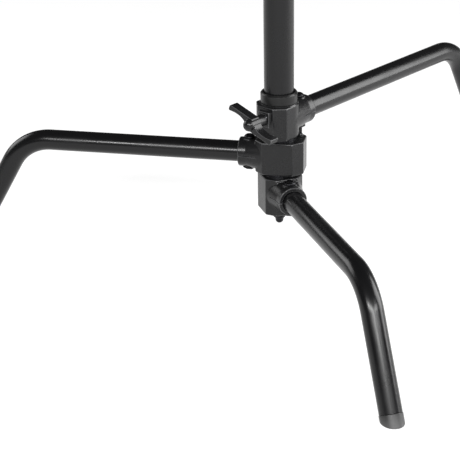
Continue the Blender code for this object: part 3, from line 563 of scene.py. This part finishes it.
class ToothNodes:
    """A node tree that sets small teeth in a ring, as under a serrated flange or on a grip."""

    def __init__(self) -> None:
        """Builds the tree and keeps its input identifiers."""
        tree = bpy.data.node_groups.new("ring_of_teeth", "GeometryNodeTree")
        face = tree.interface
        face.new_socket("Base", in_out="INPUT", socket_type="NodeSocketGeometry")
        self.ids = {}
        for name, kind in (("Ring radius", "NodeSocketFloat"), ("Height", "NodeSocketFloat"),
                           ("Count", "NodeSocketInt"), ("Tooth size", "NodeSocketVector"),
                           ("Paint", "NodeSocketMaterial")):
            made = face.new_socket(name, in_out="INPUT", socket_type=kind)
            self.ids[name] = made.identifier
        face.new_socket("Teeth", in_out="OUTPUT", socket_type="NodeSocketGeometry")
        source = add_node(tree, "NodeGroupInput").outputs
        ring = add_node(tree, "GeometryNodeCurvePrimitiveCircle", {"mode": "RADIUS"},
                        {"Resolution": source["Count"], "Radius": source["Ring radius"]})
        lift = add_node(tree, "ShaderNodeCombineXYZ", {}, {"Z": source["Height"]})
        raised = add_node(tree, "GeometryNodeTransform", {},
                          {"Geometry": ring.outputs["Curve"],
                           "Translation": lift.outputs["Vector"]})
        points = add_node(tree, "GeometryNodeCurveToPoints", {"mode": "EVALUATED"},
                          {"Curve": raised.outputs["Geometry"]})
        tooth = add_node(tree, "GeometryNodeMeshCube", {}, {"Size": source["Tooth size"]})
        turn = add_node(tree, "FunctionNodeAlignRotationToVector", {"axis": "Y"},
                        {"Vector": points.outputs["Tangent"]})
        copies = add_node(tree, "GeometryNodeInstanceOnPoints", {},
                          {"Points": points.outputs["Points"], "Instance": tooth.outputs["Mesh"],
                           "Rotation": turn.outputs["Rotation"]})
        real = add_node(tree, "GeometryNodeRealizeInstances", {},
                        {"Geometry": copies.outputs["Instances"]})
        paint = add_node(tree, "GeometryNodeSetMaterial", {},
                         {"Geometry": real.outputs["Geometry"], "Material": source["Paint"]})
        add_node(tree, "NodeGroupOutput", {}, {"Teeth": paint.outputs["Geometry"]})
        self.tree = tree

    def run(self, name: str, radius: float, height: float, count: int,
            size: Sequence[float], kind: Kind) -> bpy.types.Object:
        """Makes one ring of teeth round local Z.

        Args:
            name: the object's name.
            radius: where the teeth's centres lie.
            height: their height.
            count: how many.
            size: one tooth's radial, tangent and axial size.
            kind: the finish.
        Returns:
            A mesh object.
        """
        made = object_from(bmesh.new(), name)
        step = made.modifiers.new("teeth", "NODES")
        step.node_group = self.tree
        step[self.ids["Ring radius"]] = radius
        step[self.ids["Height"]] = height
        step[self.ids["Count"]] = count
        step[self.ids["Tooth size"]] = tuple(size)
        step[self.ids["Paint"]] = kind.material()
        return baked(made)


PIPES = PipeNodes()
TEETH = ToothNodes()


# ------------------------------------------------------------------ sub-assemblies
@dataclass
class Screw:
    """Button-head socket screw through a leg socket, with a flanged nut under it."""

    name: str
    body: str
    place: Matrix
    seat: float = 0.0178
    shank: float = 0.0040
    head: float = 0.0065
    head_height: float = 0.0036
    key: float = 0.0033
    key_depth: float = 0.0022
    nut_height: float = 0.0036
    flange: float = 0.0085
    flange_height: float = 0.0013
    dome: float = 0.0062
    teeth: int = 32

    def build(self) -> None:
        """Makes the screw and the nut."""
        low = self.seat + GAP
        top = low + self.head_height
        head = rounded([(0.0, top), (self.head * 0.70, top),
                        (self.head, low + self.head_height * 0.5), (self.head, low),
                        (self.shank, low)], 0.0009, 5)
        end = -low - self.nut_height * 0.7
        screw = turned(self.name + "_screw", head + [(self.shank, end), (0.0, end)], 48)
        key = turned("key", [(0.0, top + GAP), (self.key, top + GAP),
                             (self.key, top - self.key_depth), (0.0, top - self.key_depth)], 6)
        screw = carved(screw, [key])
        finish(screw, self.name + "_screw", Kind.BLACK_SCREW, self.body,
               [self.name + "_leg_bolt"], self.place)
        self._nut(-low)

    def _nut(self, top: float) -> None:
        """Makes the flanged dome nut, hexagonal between flange and dome.

        Args:
            top: the seat's height.
        """
        low = top - self.nut_height
        under = top - self.flange_height
        flange = turned("flange", rounded([(0.0, top), (self.flange, top),
                                           (self.flange, top - self.flange_height * 0.6),
                                           (self.dome * 0.9, under - 0.0004),
                                           (0.0, under - 0.0004)], 0.0004), 64)
        hexagon = turned("hexagon", [(0.0, top - GAP), (self.dome * 1.02, top - GAP),
                                     (self.dome * 1.02, low + self.nut_height * 0.32),
                                     (self.dome * 0.80, low + self.nut_height * 0.22),
                                     (0.0, low + self.nut_height * 0.22)], 6)
        dome = turned("dome", rounded([(0.0, top - GAP), (self.dome * 0.78, top - GAP),
                                       (self.dome * 0.78, low + self.nut_height * 0.25),
                                       (self.dome * 0.45, low), (0.0, low)], 0.002, 6), 48)
        nut = cast(self.name + "_nut", [flange, hexagon, dome], 2, 0.00025)
        teeth = TEETH.run("teeth", self.flange * 0.93, top - self.flange_height * 0.35, self.teeth,
                          (0.0008, 0.0006, self.flange_height * 0.55), Kind.BLACK_SCREW)
        finish(nut, self.name + "_nut", Kind.BLACK_SCREW, self.body, [self.name + "_leg_nut"],
               self.place)
        finish(teeth, self.name + "_nut_teeth", Kind.BLACK_SCREW, self.body, (), self.place)


@dataclass
class Hub:
    """Leg casting: bore on the column, split socket along local X, block behind."""

    name: str
    body: str
    height: float
    azimuth: float
    depth: float
    cheeks: bool = True
    skirt: float = 0.0
    upper_lug: float | None = None
    lower_lug: float | None = None
    knob_boss: bool = False
    half: float = 0.020
    bore: float = 0.0198
    radius: float = 0.0233
    facet: float = 0.0240
    cheek_reach: float = 0.0166
    front: float = 0.0264
    skirt_wall: float = 0.0015
    socket: float = 0.0175
    socket_bore: float = 0.0128
    socket_reach: float = 0.0475
    flare: float = 0.0058
    flare_start: float = 0.0145
    round_flare_start: float = 0.004
    flare_end: float = 0.038
    pad: float = 0.0080
    pad_height: float = 0.0178
    bolt_distance: float = 0.0355
    slit: float = 0.0015
    slit_start: float = 0.0240
    screw_hole: float = 0.0043
    mouth_chamfer: float = 0.0009
    socket_edge: float = 0.0004
    pad_proud: float = 0.0006
    end_softness: float = 0.0011
    lug_inner: float = 0.0247
    lug_outer: float = 0.0285
    lug_rise: float = 0.0033
    lug_half_angle: float = math.radians(5.0)
    rim_inset: float = 0.0009
    rim_height: float = 0.0012
    boss_lift: float = 0.006
    boss_size: tuple[float, float, float] = (0.0027, 0.016, 0.018)
    boss_frame: float = 0.0026

    def _outline(self) -> list[Point]:
        """A chamfered block with a round nose or flat cheeks."""
        nose = arc((0.0, 0.0), self.radius, -math.pi / 2, math.pi / 2, 48)
        if self.cheeks:
            narrow = self.radius - self.front + self.cheek_reach
            nose = [(self.cheek_reach, -self.radius), (self.front, -narrow),
                    (self.front, narrow), (self.cheek_reach, self.radius)]
        edge = self.facet / 2
        shoulder = -self.depth + self.radius - edge
        return nose + [(shoulder, self.radius), (-self.depth, edge), (-self.depth, -edge),
                       (shoulder, -self.radius)]

    def _lug(self, azimuth: float, low: float, high: float) -> bpy.types.Object:
        """A curved stop lug centred on an azimuth."""
        wide = self.lug_half_angle
        inner = arc((0.0, 0.0), self.lug_inner, azimuth + wide, azimuth - wide, 6)
        outer = arc((0.0, 0.0), self.lug_outer, azimuth - wide, azimuth + wide, 6)
        return prism("lug", inner + outer, low, high)

    def _cores(self) -> list[bpy.types.Object]:
        """The overlapping solids that the casting is fused from."""
        reach = self.socket_reach
        wide_end = self.flare_start if self.cheeks else self.round_flare_start
        arm = turned("arm", [(0.0, reach), (self.socket - self.socket_edge, reach),
                             (self.socket, reach - self.socket_edge), (self.socket, self.flare_end),
                             (self.socket + self.flare, wide_end), (0.0, wide_end)], 96)
        clipped(moved(arm, ALONG_X), self.pad_height - self.pad_proud)
        pad = turned("pad", [(0.0, self.pad_height), (self.pad, self.pad_height),
                             (self.pad, -self.pad_height), (0.0, -self.pad_height)], 48)
        moved(pad, Matrix.Translation((self.bolt_distance, 0.0, 0.0)))
        low = -self.half - self.skirt
        block = softened(prism("block", self._outline(), low, self.half),
                         self.end_softness)
        cores = [block, arm, pad]
        if self.upper_lug is not None:
            cores.append(self._lug(self.upper_lug, self.half / 2, self.half + self.lug_rise))
        if self.lower_lug is not None:
            cores.append(self._lug(self.lower_lug, -self.half - self.lug_rise, -self.half / 2))
        if self.knob_boss:
            out, wide, tall = self.boss_size
            cores.append(box("boss", (-self.depth - out, -wide / 2, self.boss_lift - tall / 2),
                             (-self.radius, wide / 2, self.boss_lift + tall / 2)))
            rim = self.radius - self.rim_inset
            top = self.half + self.rim_height
            cores.append(turned("rim", [(0.0, top), (rim, top), (rim, 0.0), (0.0, 0.0)], 96))
        return cores

    def _cutters(self) -> list[bpy.types.Object]:
        """Bore, socket, slit, screw hole and the countersunk edges."""
        tall = 2 * self.half
        wall = [(self.bore, tall), (self.bore, -tall)]
        if self.skirt:
            inner = self.radius - self.skirt_wall
            wall = [(self.bore, tall), (self.bore, -self.half), (inner, -self.half),
                    (inner, -tall)]
        bore = turned("bore", [(0.0, tall)] + wall + [(0.0, -tall)], 96)
        end = self.socket_reach + 0.002
        mouth = self.socket_bore + self.mouth_chamfer
        socket = turned("socket", [(0.0, end), (mouth + 0.002, end),
                                   (self.socket_bore, self.socket_reach - self.mouth_chamfer),
                                   (self.socket_bore, self.slit_start + 0.001),
                                   (0.0, self.slit_start + 0.001)], 96)
        moved(socket, ALONG_X)
        wide = 2 * self.radius
        slit = box("slit", (self.slit_start, -wide, -self.slit / 2), (end, wide, self.slit / 2))
        hole = turned("hole", [(0.0, tall), (self.screw_hole, tall), (self.screw_hole, -tall),
                               (0.0, -tall)], 32)
        moved(hole, Matrix.Translation((self.bolt_distance, 0.0, 0.0)))
        cutters = [bore, socket, slit, hole]
        if self.knob_boss:
            thread = turned("thread", [(0.0, tall + 0.01), (self.screw_hole, tall + 0.01),
                                       (self.screw_hole, 0.0), (0.0, 0.0)], 32)
            turn = Matrix.Translation((0.0, 0.0, self.boss_lift)) @ Matrix.Rotation(
                -math.pi / 2, 4, "Y")
            cutters.append(moved(thread, turn))
            out, wide, tall = self.boss_size
            rim = self.boss_frame
            cutters.append(box("recess", (-self.depth - 2 * out, rim - wide / 2,
                                          self.boss_lift + rim - tall / 2),
                               (-self.depth - 0.3 * out, wide / 2 - rim,
                                self.boss_lift + tall / 2 - rim)))
        return cutters

    def build(self) -> None:
        """Fuses, cuts and mounts the casting."""
        place = on_axis(self.height, self.azimuth)
        body = carved(cast(self.name + "_casting", self._cores()), self._cutters())
        finish(body, self.name + "_casting", Kind.CASTING, self.body, [self.name + "_hub"], place)


@dataclass
class Leg:
    """Bent leg tube with its plastic foot."""

    name: str
    body: str
    height: float
    azimuth: float
    reach: float
    radius: float = 0.0125
    bend: float = 0.060
    drop: float = math.radians(60.0)
    inset: float = 0.0255
    foot_end: float = 0.0125 / math.tan(math.radians(60.0)) + 0.0013
    foot_proud: float = 0.00035

    def build(self) -> None:
        """Makes the tube and the foot."""
        place = on_axis(self.height, self.azimuth)
        length = self.height / math.sin(self.drop) - self.foot_end
        down = Vector((math.cos(self.drop), 0.0, -math.sin(self.drop)))
        end = Vector((self.reach, 0.0, 0.0)) + down * length
        tube = PIPES.run(self.name + "_tube", [(self.inset, 0.0, 0.0), (self.reach, 0.0, 0.0),
                                               tuple(end)], self.radius, self.bend)
        finish(tube, self.name + "_tube", Kind.TUBE, self.body, [self.name + "_leg_tube"], place)
        self._foot(place, end)

    def _foot(self, place: Matrix, end: Vector) -> None:
        """Makes the foot, which is cut level with the floor.

        Args:
            place: the leg's frame.
            end: the tube's end in that frame.
        """
        outer = self.radius + self.foot_proud
        below = self.foot_end + 2 * outer
        profile = rounded([(0.0, below), (outer, below), (outer, GAP), (outer - 0.002, GAP),
                           (0.0, GAP)], 0.0007, 5)
        foot = turned(self.name + "_foot", profile, 96)
        turn = Matrix.Rotation(math.pi / 2 + self.drop, 4, "Y")
        moved(foot, Matrix.Translation(end) @ turn)
        shape = bmesh.new()
        shape.from_mesh(foot.data)
        geometry = shape.verts[:] + shape.edges[:] + shape.faces[:]
        cut = bmesh.ops.bisect_plane(shape, geom=geometry, plane_co=(0.0, 0.0, -self.height),
                                     plane_no=(0.0, 0.0, -1.0), clear_outer=True)
        edges = [item for item in cut["geom_cut"] if isinstance(item, bmesh.types.BMEdge)]
        bmesh.ops.holes_fill(shape, edges=edges)
        bmesh.ops.recalc_face_normals(shape, faces=shape.faces)
        shape.to_mesh(foot.data)
        shape.free()
        finish(foot, self.name + "_foot", Kind.NYLON, self.body, [self.name + "_leg_foot"], place)


@dataclass
class Knob:
    """T-knob: cast handle on a steel stud, each wing straight on one side and scooped behind."""

    name: str
    body: str
    height: float
    azimuth: float
    boss_face: float
    standoff: float = 0.0015
    barrel: float = 0.0070
    length: float = 0.0305
    dome: float = 0.0060
    reach: float = 0.0348
    root: float = 0.0078
    end_low: float = -0.0056
    end_high: float = 0.0014
    end_radius: float = 0.0018
    scoop_start: float = math.radians(14.0)
    wing_low: float = 0.0106
    wing_high: float = 0.0230
    tilt: float = math.radians(22.0)

    def _outline(self) -> list[Point]:
        """Both wings seen along the screw."""
        tip = self.reach - self.end_radius
        turn = math.pi / 2
        wing: list[Point] = [(0.0, -self.root)]
        wing += arc((tip, self.end_low + self.end_radius), self.end_radius, -turn, 0.0, 5)
        wing += arc((tip, self.end_high - self.end_radius), self.end_radius, 0.0, turn, 5)
        start = Vector((tip, self.end_high))
        middle = Vector((0.0160, -0.0042))
        end = self.root * Vector((math.cos(self.scoop_start), math.sin(self.scoop_start)))
        for step in range(1, 17):
            share = step / 16
            spot = start.lerp(middle, share).lerp(middle.lerp(end, share), share)
            wing.append((spot.x, spot.y))
        return wing + [(-x, -y) for x, y in wing]

    def build(self) -> None:
        """Makes the handle and mounts the stud."""
        low = self.boss_face + self.standoff
        bend = arc((0.0, 0.0), 1.0, math.pi / 2, 0.0, 12)
        profile = [(self.barrel * across, self.length - self.dome * (1.0 - up))
                   for across, up in bend]
        profile = [(0.0, self.length)] + profile[1:] + [(self.barrel, 0.0009),
                                                        (self.barrel - 0.0009, 0.0), (0.0, 0.0)]
        barrel = turned("barrel", profile, 64)
        wings = moved(prism("wings", self._outline(), self.wing_low, self.wing_high),
                      Matrix.Rotation(math.pi / 2 - self.tilt, 4, "Z"))
        handle = cast(self.name + "_handle", [barrel, wings], 4, 0.00042)
        socket = turned("socket", [(0.0, 0.0123), (0.0043, 0.0123), (0.0043, -0.002),
                                   (0.0, -0.002)], 32)
        handle = carved(handle, [socket])
        outward = on_axis(self.height, self.azimuth) @ ALONG_X
        finish(handle, self.name + "_handle", Kind.CASTING, self.body, [self.name + "_knob"],
               outward @ Matrix.Translation((0.0, 0.0, low)))
        self._stud(outward, low)

    def _stud(self, outward: Matrix, low: float) -> None:
        """Makes the threaded stud as a turned bar with rolled crests.

        Args:
            outward: the frame whose Z is the screw's axis.
            low: where the handle starts.
        """
        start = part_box(self.name + "_knob_pad")
        centre = Vector((AXIS_X, AXIS_Y, self.height))
        spread = (Vector(start[0]) + Vector(start[1])) / 2 - centre
        bottom = spread.length + 0.0018
        top = low + 0.0118
        pitch = 0.00125
        profile = [(0.0, top), (0.0036, top)]
        turns = int((top - bottom) / pitch)
        for index in range(turns):
            level = top - (index + 0.5) * pitch
            profile += [(0.00395, level), (0.0035, level - pitch / 2)]
        profile += [(0.0036, bottom), (0.0, bottom)]
        finish(turned(self.name + "_stud", profile, 40), self.name + "_stud", Kind.BRIGHT,
               self.body, [self.name + "_knob_stud"], outward, 25.0)


@dataclass
class Clamp:
    """Clamp casting on top of a tube, with its guide bush and cross pin."""

    name: str
    body: str
    low: float
    tube: float
    inner: float
    azimuth: float
    tall: float = 0.064
    wall: float = 0.0055
    lip: float = 0.005
    insert: float = 0.026
    boss_out: float = 0.0095
    boss_wide: float = 0.022
    boss_tall: float = 0.026

    @property
    def boss_face(self) -> float:
        """Distance from the column axis to the knob boss's face."""
        return self.tube + self.wall + self.boss_out

    @property
    def knob_height(self) -> float:
        """Height of the knob's axis."""
        return self.low + (self.insert + self.tall - self.lip) / 2

    def build(self) -> None:
        """Makes the casting."""
        outer = self.tube + self.wall
        waist = outer - 0.0012
        tall = self.tall
        shell = [(0.0, tall), (outer - 0.0016, tall), (outer, tall - 0.0016), (outer, tall - 0.009),
                 (waist, tall - 0.0105), (waist, 0.0105), (outer, 0.009), (outer, 0.0016),
                 (outer - 0.0016, 0.0), (0.0, 0.0)]
        middle = self.knob_height - self.low
        body = turned("shell", shell, 96)
        half = self.boss_wide / 2
        boss = box("boss", (0.0, -half, middle - self.boss_tall / 2),
                   (self.boss_face, half, middle + self.boss_tall / 2))
        gusset = prism("gusset", [(0.0, -outer), (outer * 0.55, -half - 0.004),
                                  (self.boss_face - 0.004, -half), (self.boss_face - 0.004, half),
                                  (outer * 0.55, half + 0.004), (0.0, outer)],
                       middle - self.boss_tall * 0.32, middle + self.boss_tall * 0.32)
        casting = cast(self.name + "_clamp_casting", [body, boss, gusset])
        bore = self.tube + GAP
        lip_bore = self.inner + 2 * GAP
        hollow = turned("hollow", [(0.0, tall + 0.002), (lip_bore + 0.0012, tall + 0.002),
                                   (lip_bore, tall - 0.0008), (lip_bore, tall - self.lip),
                                   (bore, tall - self.lip), (bore, -0.002), (0.0, -0.002)], 96)
        pin = turned("pin", [(0.0, 0.05), (0.0018, 0.05), (0.0018, 0.0), (0.0, 0.0)], 24)
        moved(pin, Matrix.Translation((0.0, 0.0, 0.012)) @ Matrix.Rotation(
            math.pi / 2, 4, "Z") @ ALONG_X)
        thread = turned("thread", [(0.0, 0.06), (0.0043, 0.06), (0.0043, 0.0), (0.0, 0.0)], 32)
        moved(thread, Matrix.Translation((0.0, 0.0, middle)) @ ALONG_X)
        casting = carved(casting, [hollow, pin, thread])
        finish(casting, self.name + "_clamp_casting", Kind.CASTING, self.body,
               [self.name + "_clamp"], on_axis(self.low, self.azimuth))


@dataclass
class Base:
    """Collar, sleeve cap and washers of the hub stack."""

    stack_top: float = 0.236
    stack_bottom: float = 0.108
    hub_gap: float = 0.004
    rim: float = 0.0012
    collar: float = 0.02175
    collar_height: float = 0.012
    bore: float = 0.0198
    lip_bore: float = 0.0181
    radius: float = 0.0225
    cap_radius: float = 0.0215
    cap_height: float = 0.0035
    foot_radius: float = 0.0090
    foot_height: float = 0.0067
    screw_flange: float = 0.0075
    screw_flange_height: float = 0.0034
    screw_dome: float = 0.0048
    screw_dome_height: float = 0.0077

    def build(self) -> None:
        """Makes the turned rings."""
        low = self.rim + GAP
        top = low + self.collar_height
        profile = rounded([(self.lip_bore + 0.0008, top), (self.collar - 0.0013, top),
                           (self.collar, top - 0.0016), (self.collar, low + 0.0004),
                           (self.collar - 0.0005, low), (self.bore, low), (self.bore, 0.009),
                           (self.lip_bore, 0.009), (self.lip_bore, top - 0.0010)], 0.0004)
        finish(turned("collar", profile, 128), "collar", Kind.NYLON, "base", ["top_collar"],
               on_axis(self.stack_top))
        self._cap()
        stack = (("upper", 0.192, self.radius), ("middle", 0.148, self.radius),
                 ("lower", self.stack_bottom, self.cap_radius))
        for name, height, outer in stack:
            ring = rounded([(outer, -GAP), (outer, GAP - self.hub_gap),
                            (self.bore, GAP - self.hub_gap), (self.bore, -GAP)], 0.0003)
            finish(turned(name + "_ring", ring, 96), name + "_ring", Kind.NYLON, "base",
                   [name + "_washer"], on_axis(height))

    def _cap(self) -> None:
        """Makes the cap inside the bottom hub's skirt, and the dome-head screw under it."""
        foot = -self.cap_height - self.foot_height
        cap = rounded([(0.0, 0.007), (0.0175, 0.007), (0.0175, 0.0), (self.cap_radius, 0.0),
                       (self.cap_radius, -self.cap_height), (self.foot_radius, -self.cap_height),
                       (self.foot_radius, foot), (0.0, foot)], 0.0006)
        place = on_axis(self.stack_bottom - self.hub_gap)
        finish(turned("sleeve_cap", cap, 96), "sleeve_cap", Kind.CASTING, "base", ["base_cap"],
               place)
        top = foot - GAP
        flange_low = top - self.screw_flange_height
        low = flange_low - self.screw_dome_height
        flange = turned("flange", rounded([(0.0, top), (self.screw_flange, top),
                                           (self.screw_flange, flange_low + 0.0010),
                                           (self.screw_dome + 0.0004, flange_low),
                                           (0.0, flange_low)], 0.0008, 5), 64)
        hexagon = turned("hexagon", [(0.0, top), (self.screw_dome * 1.12, top),
                                     (self.screw_dome * 1.12, flange_low - 0.0020),
                                     (self.screw_dome * 0.86, flange_low - 0.0028),
                                     (0.0, flange_low - 0.0028)], 6)
        dome = turned("dome", rounded([(0.0, top), (self.screw_dome, top),
                                       (self.screw_dome, low + 0.0030),
                                       (self.screw_dome * 0.62, low + 0.0006), (0.0, low)],
                                      0.0030, 8), 64)
        screw = cast("dome_screw", [flange, hexagon, dome], 3, 0.0003)
        finish(screw, "dome_screw", Kind.BLACK_SCREW, "base", ["centre_screw"], place)

@dataclass
class Mast:
    """Column tube, risers and the grip pin on top."""

    tubes: dict[str, tuple[str, float]] = field(default_factory=lambda: {
        "column": ("column", 0.0175), "riser_1": ("riser_1", 0.0150),
        "riser_2": ("riser_2", 0.0125)})
    wall: float = 0.0015

    def build(self) -> None:
        """Makes the hollow tubes and the pin."""
        for name, (body, radius) in self.tubes.items():
            low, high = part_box(name + "_tube")
            inner = radius - self.wall
            edge = rounded([(radius, (low[2] + high[2]) / 2), (radius, low[2]), (inner, low[2]),
                            (inner, high[2]), (radius, high[2]),
                            (radius, (low[2] + high[2]) / 2 + GAP)], 0.0003)
            tube = turned(name + "_pipe", edge, 96)
            finish(tube, name + "_pipe", Kind.TUBE, body, [name + "_tube"],
                   Matrix.Translation((AXIS_X, AXIS_Y, 0.0)))
        self._spigot()

    def _spigot(self) -> None:
        """Makes the grip pin: plug, collar, neck and grooved pin with chamfers."""
        low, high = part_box("top_spigot")
        top = high[2]
        neck = top - 0.080
        collar = neck - 0.012
        seat = collar - 0.012
        groove = neck + 0.030
        profile = [(0.0, top), (0.0067, top), (0.0079, top - 0.0014), (0.0079, groove + 0.014),
                   (0.0064, groove + 0.0125), (0.0064, groove + 0.0015), (0.0079, groove),
                   (0.0079, neck + 0.0006), (0.0085, neck), (0.0094, neck), (0.0100, neck - 0.0006),
                   (0.0100, collar), (0.0138, collar), (0.0150, collar - 0.0012),
                   (0.0150, seat + 0.0006), (0.0144, seat), (0.0107, seat), (0.0107, low[2]),
                   (0.0, low[2])]
        pin = turned("grip_pin", rounded(profile, 0.0005, 3), 96)
        finish(pin, "grip_pin", Kind.BRIGHT, "riser_2", ["top_spigot"],
               Matrix.Translation((AXIS_X, AXIS_Y, 0.0)))


@dataclass
class Studio:
    """Pale floor, soft lights and the camera."""

    eye: tuple[float, float, float] = (0.0163, -1.5536, 0.7738)
    yaw: float = -0.04917
    pitch: float = 0.42381
    roll: float = -0.01957
    lens: float = 109.84

    def build(self) -> None:
        """Makes the floor, the lights, the world and the camera."""
        self._floor()
        self._world()
        self._light("front_left", (-0.45, -2.45, 1.55), (0.0, 0.0, 0.15), (2.3, 0.20), 90.0)
        self._light("front_right", (1.55, -1.95, 1.60), (0.0, 0.0, 0.15), (1.8, 0.20), 44.0)
        self._light("right", (1.5, 0.1, 0.70), (0.15, 0.0, 0.05), (1.0, 1.2), 30.0)
        self._light("left", (-1.8, 0.9, 0.9), (0.0, 0.0, 0.15), (1.2, 1.0), 14.0)
        self._camera()

    def _floor(self) -> None:
        """A wide pale floor."""
        shape = bmesh.new()
        bmesh.ops.create_grid(shape, x_segments=1, y_segments=1, size=30.0)
        floor = object_from(shape, "floor")
        material = bpy.data.materials.new("pale_floor")
        material.use_nodes = True
        shader = material.node_tree.nodes["Principled BSDF"]
        shader.inputs["Base Color"].default_value = srgb("8f8f8f")
        shader.inputs["Roughness"].default_value = 0.9
        shader.inputs["Emission Color"].default_value = srgb("ffffff")
        shader.inputs["Emission Strength"].default_value = 0.80
        floor.data.materials.append(material)

    def _world(self) -> None:
        """An even white surround."""
        world = bpy.data.worlds.new("studio")
        bpy.context.scene.world = world
        world.use_nodes = True
        shade = world.node_tree.nodes["Background"]
        shade.inputs["Color"].default_value = (1.0, 1.0, 1.0, 1.0)
        shade.inputs["Strength"].default_value = 0.05

    def _light(self, name: str, place: Sequence[float], aim: Sequence[float],
               size: Point, power: float) -> None:
        """One rectangular soft light.

        Args:
            name: its name.
            place: where it stands.
            aim: where it points.
            size: width and height.
            power: watts.
        """
        lamp = bpy.data.lights.new(name, "AREA")
        lamp.shape = "RECTANGLE"
        lamp.size, lamp.size_y = size
        lamp.energy = power
        made = bpy.data.objects.new(name, lamp)
        bpy.context.scene.collection.objects.link(made)
        made.location = place
        away = Vector(aim) - Vector(place)
        made.rotation_euler = away.to_track_quat("-Z", "Y").to_euler()

    def _camera(self) -> None:
        """A camera that looks down on the base from the front."""
        data = bpy.data.cameras.new("camera")
        data.lens = self.lens
        data.sensor_width = 36.0
        data.clip_end = 100.0
        made = bpy.data.objects.new("camera", data)
        bpy.context.scene.collection.objects.link(made)
        ahead = Vector((math.sin(self.yaw) * math.cos(self.pitch),
                        math.cos(self.yaw) * math.cos(self.pitch), -math.sin(self.pitch)))
        right = Vector((math.cos(self.yaw), -math.sin(self.yaw), 0.0))
        up = right.cross(ahead)
        side = right * math.cos(self.roll) + up * math.sin(self.roll)
        top = up * math.cos(self.roll) - right * math.sin(self.roll)
        turn = Matrix((side, top, -ahead)).transposed().to_4x4()
        eye = Vector(self.eye) + Vector((AXIS_X, AXIS_Y, 0.0))
        made.matrix_world = Matrix.Translation(eye) @ turn
        bpy.context.scene.camera = made


def dress_small_parts() -> None:
    """Gives the plain solids that stay their finishes."""
    kinds = {slot: kind for kind, slot in SLOTS.items()}
    for entry in frame["record"]["subparts"]:
        node = frame["nodes"][entry["node"]]
        node.data.materials.clear()
        node.data.materials.append(kinds[entry["material_slot"]].material())


def main() -> None:
    """Builds the stand's sub-assemblies in order."""
    logging.basicConfig(level=logging.INFO, format="%(message)s")
    bpy.context.scene.view_settings.view_transform = "Standard"
    top = math.radians(50.4)
    third = math.radians(120.0)
    stop = math.radians(16.0)
    lug = math.radians(5.7)
    dress_small_parts()
    Hub("top", "base", 0.216, top, 0.0253, cheeks=False, lower_lug=stop + lug - top,
        knob_boss=True).build()
    Hub("middle", "middle_leg", 0.172, top + third, 0.0310,
        upper_lug=stop - lug - top - third, lower_lug=stop - lug - top).build()
    Hub("bottom", "bottom_leg", 0.128, top - third, 0.0233, skirt=0.0055,
        upper_lug=stop + 2 * third + lug - top).build()
    for name, body, height, azimuth, reach in (
            ("top", "base", 0.216, top, 0.364),
            ("middle", "middle_leg", 0.172, top + third, 0.318),
            ("bottom", "bottom_leg", 0.128, top - third, 0.265)):
        Leg(name, body, height, azimuth, reach).build()
        place = on_axis(height, azimuth) @ Matrix.Translation((0.0355, 0.0, 0.0))
        Screw(name, body, place).build()
    Base().build()
    Mast().build()
    column_clamp = Clamp("column", "column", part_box("column_clamp")[0][2], 0.0175, 0.0150,
                         top + math.pi)
    riser_clamp = Clamp("riser_1", "riser_1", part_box("riser_1_clamp")[0][2], 0.0150, 0.0125,
                        top + math.pi + third)
    column_clamp.build()
    riser_clamp.build()
    Knob("base", "base_handle", 0.222, top + math.pi, 0.0278).build()
    for clamp in (column_clamp, riser_clamp):
        Knob(clamp.name, clamp.name + "_handle", clamp.knob_height, clamp.azimuth,
             clamp.boss_face).build()
    Studio().build()


if __name__ == "__main__":
    main()
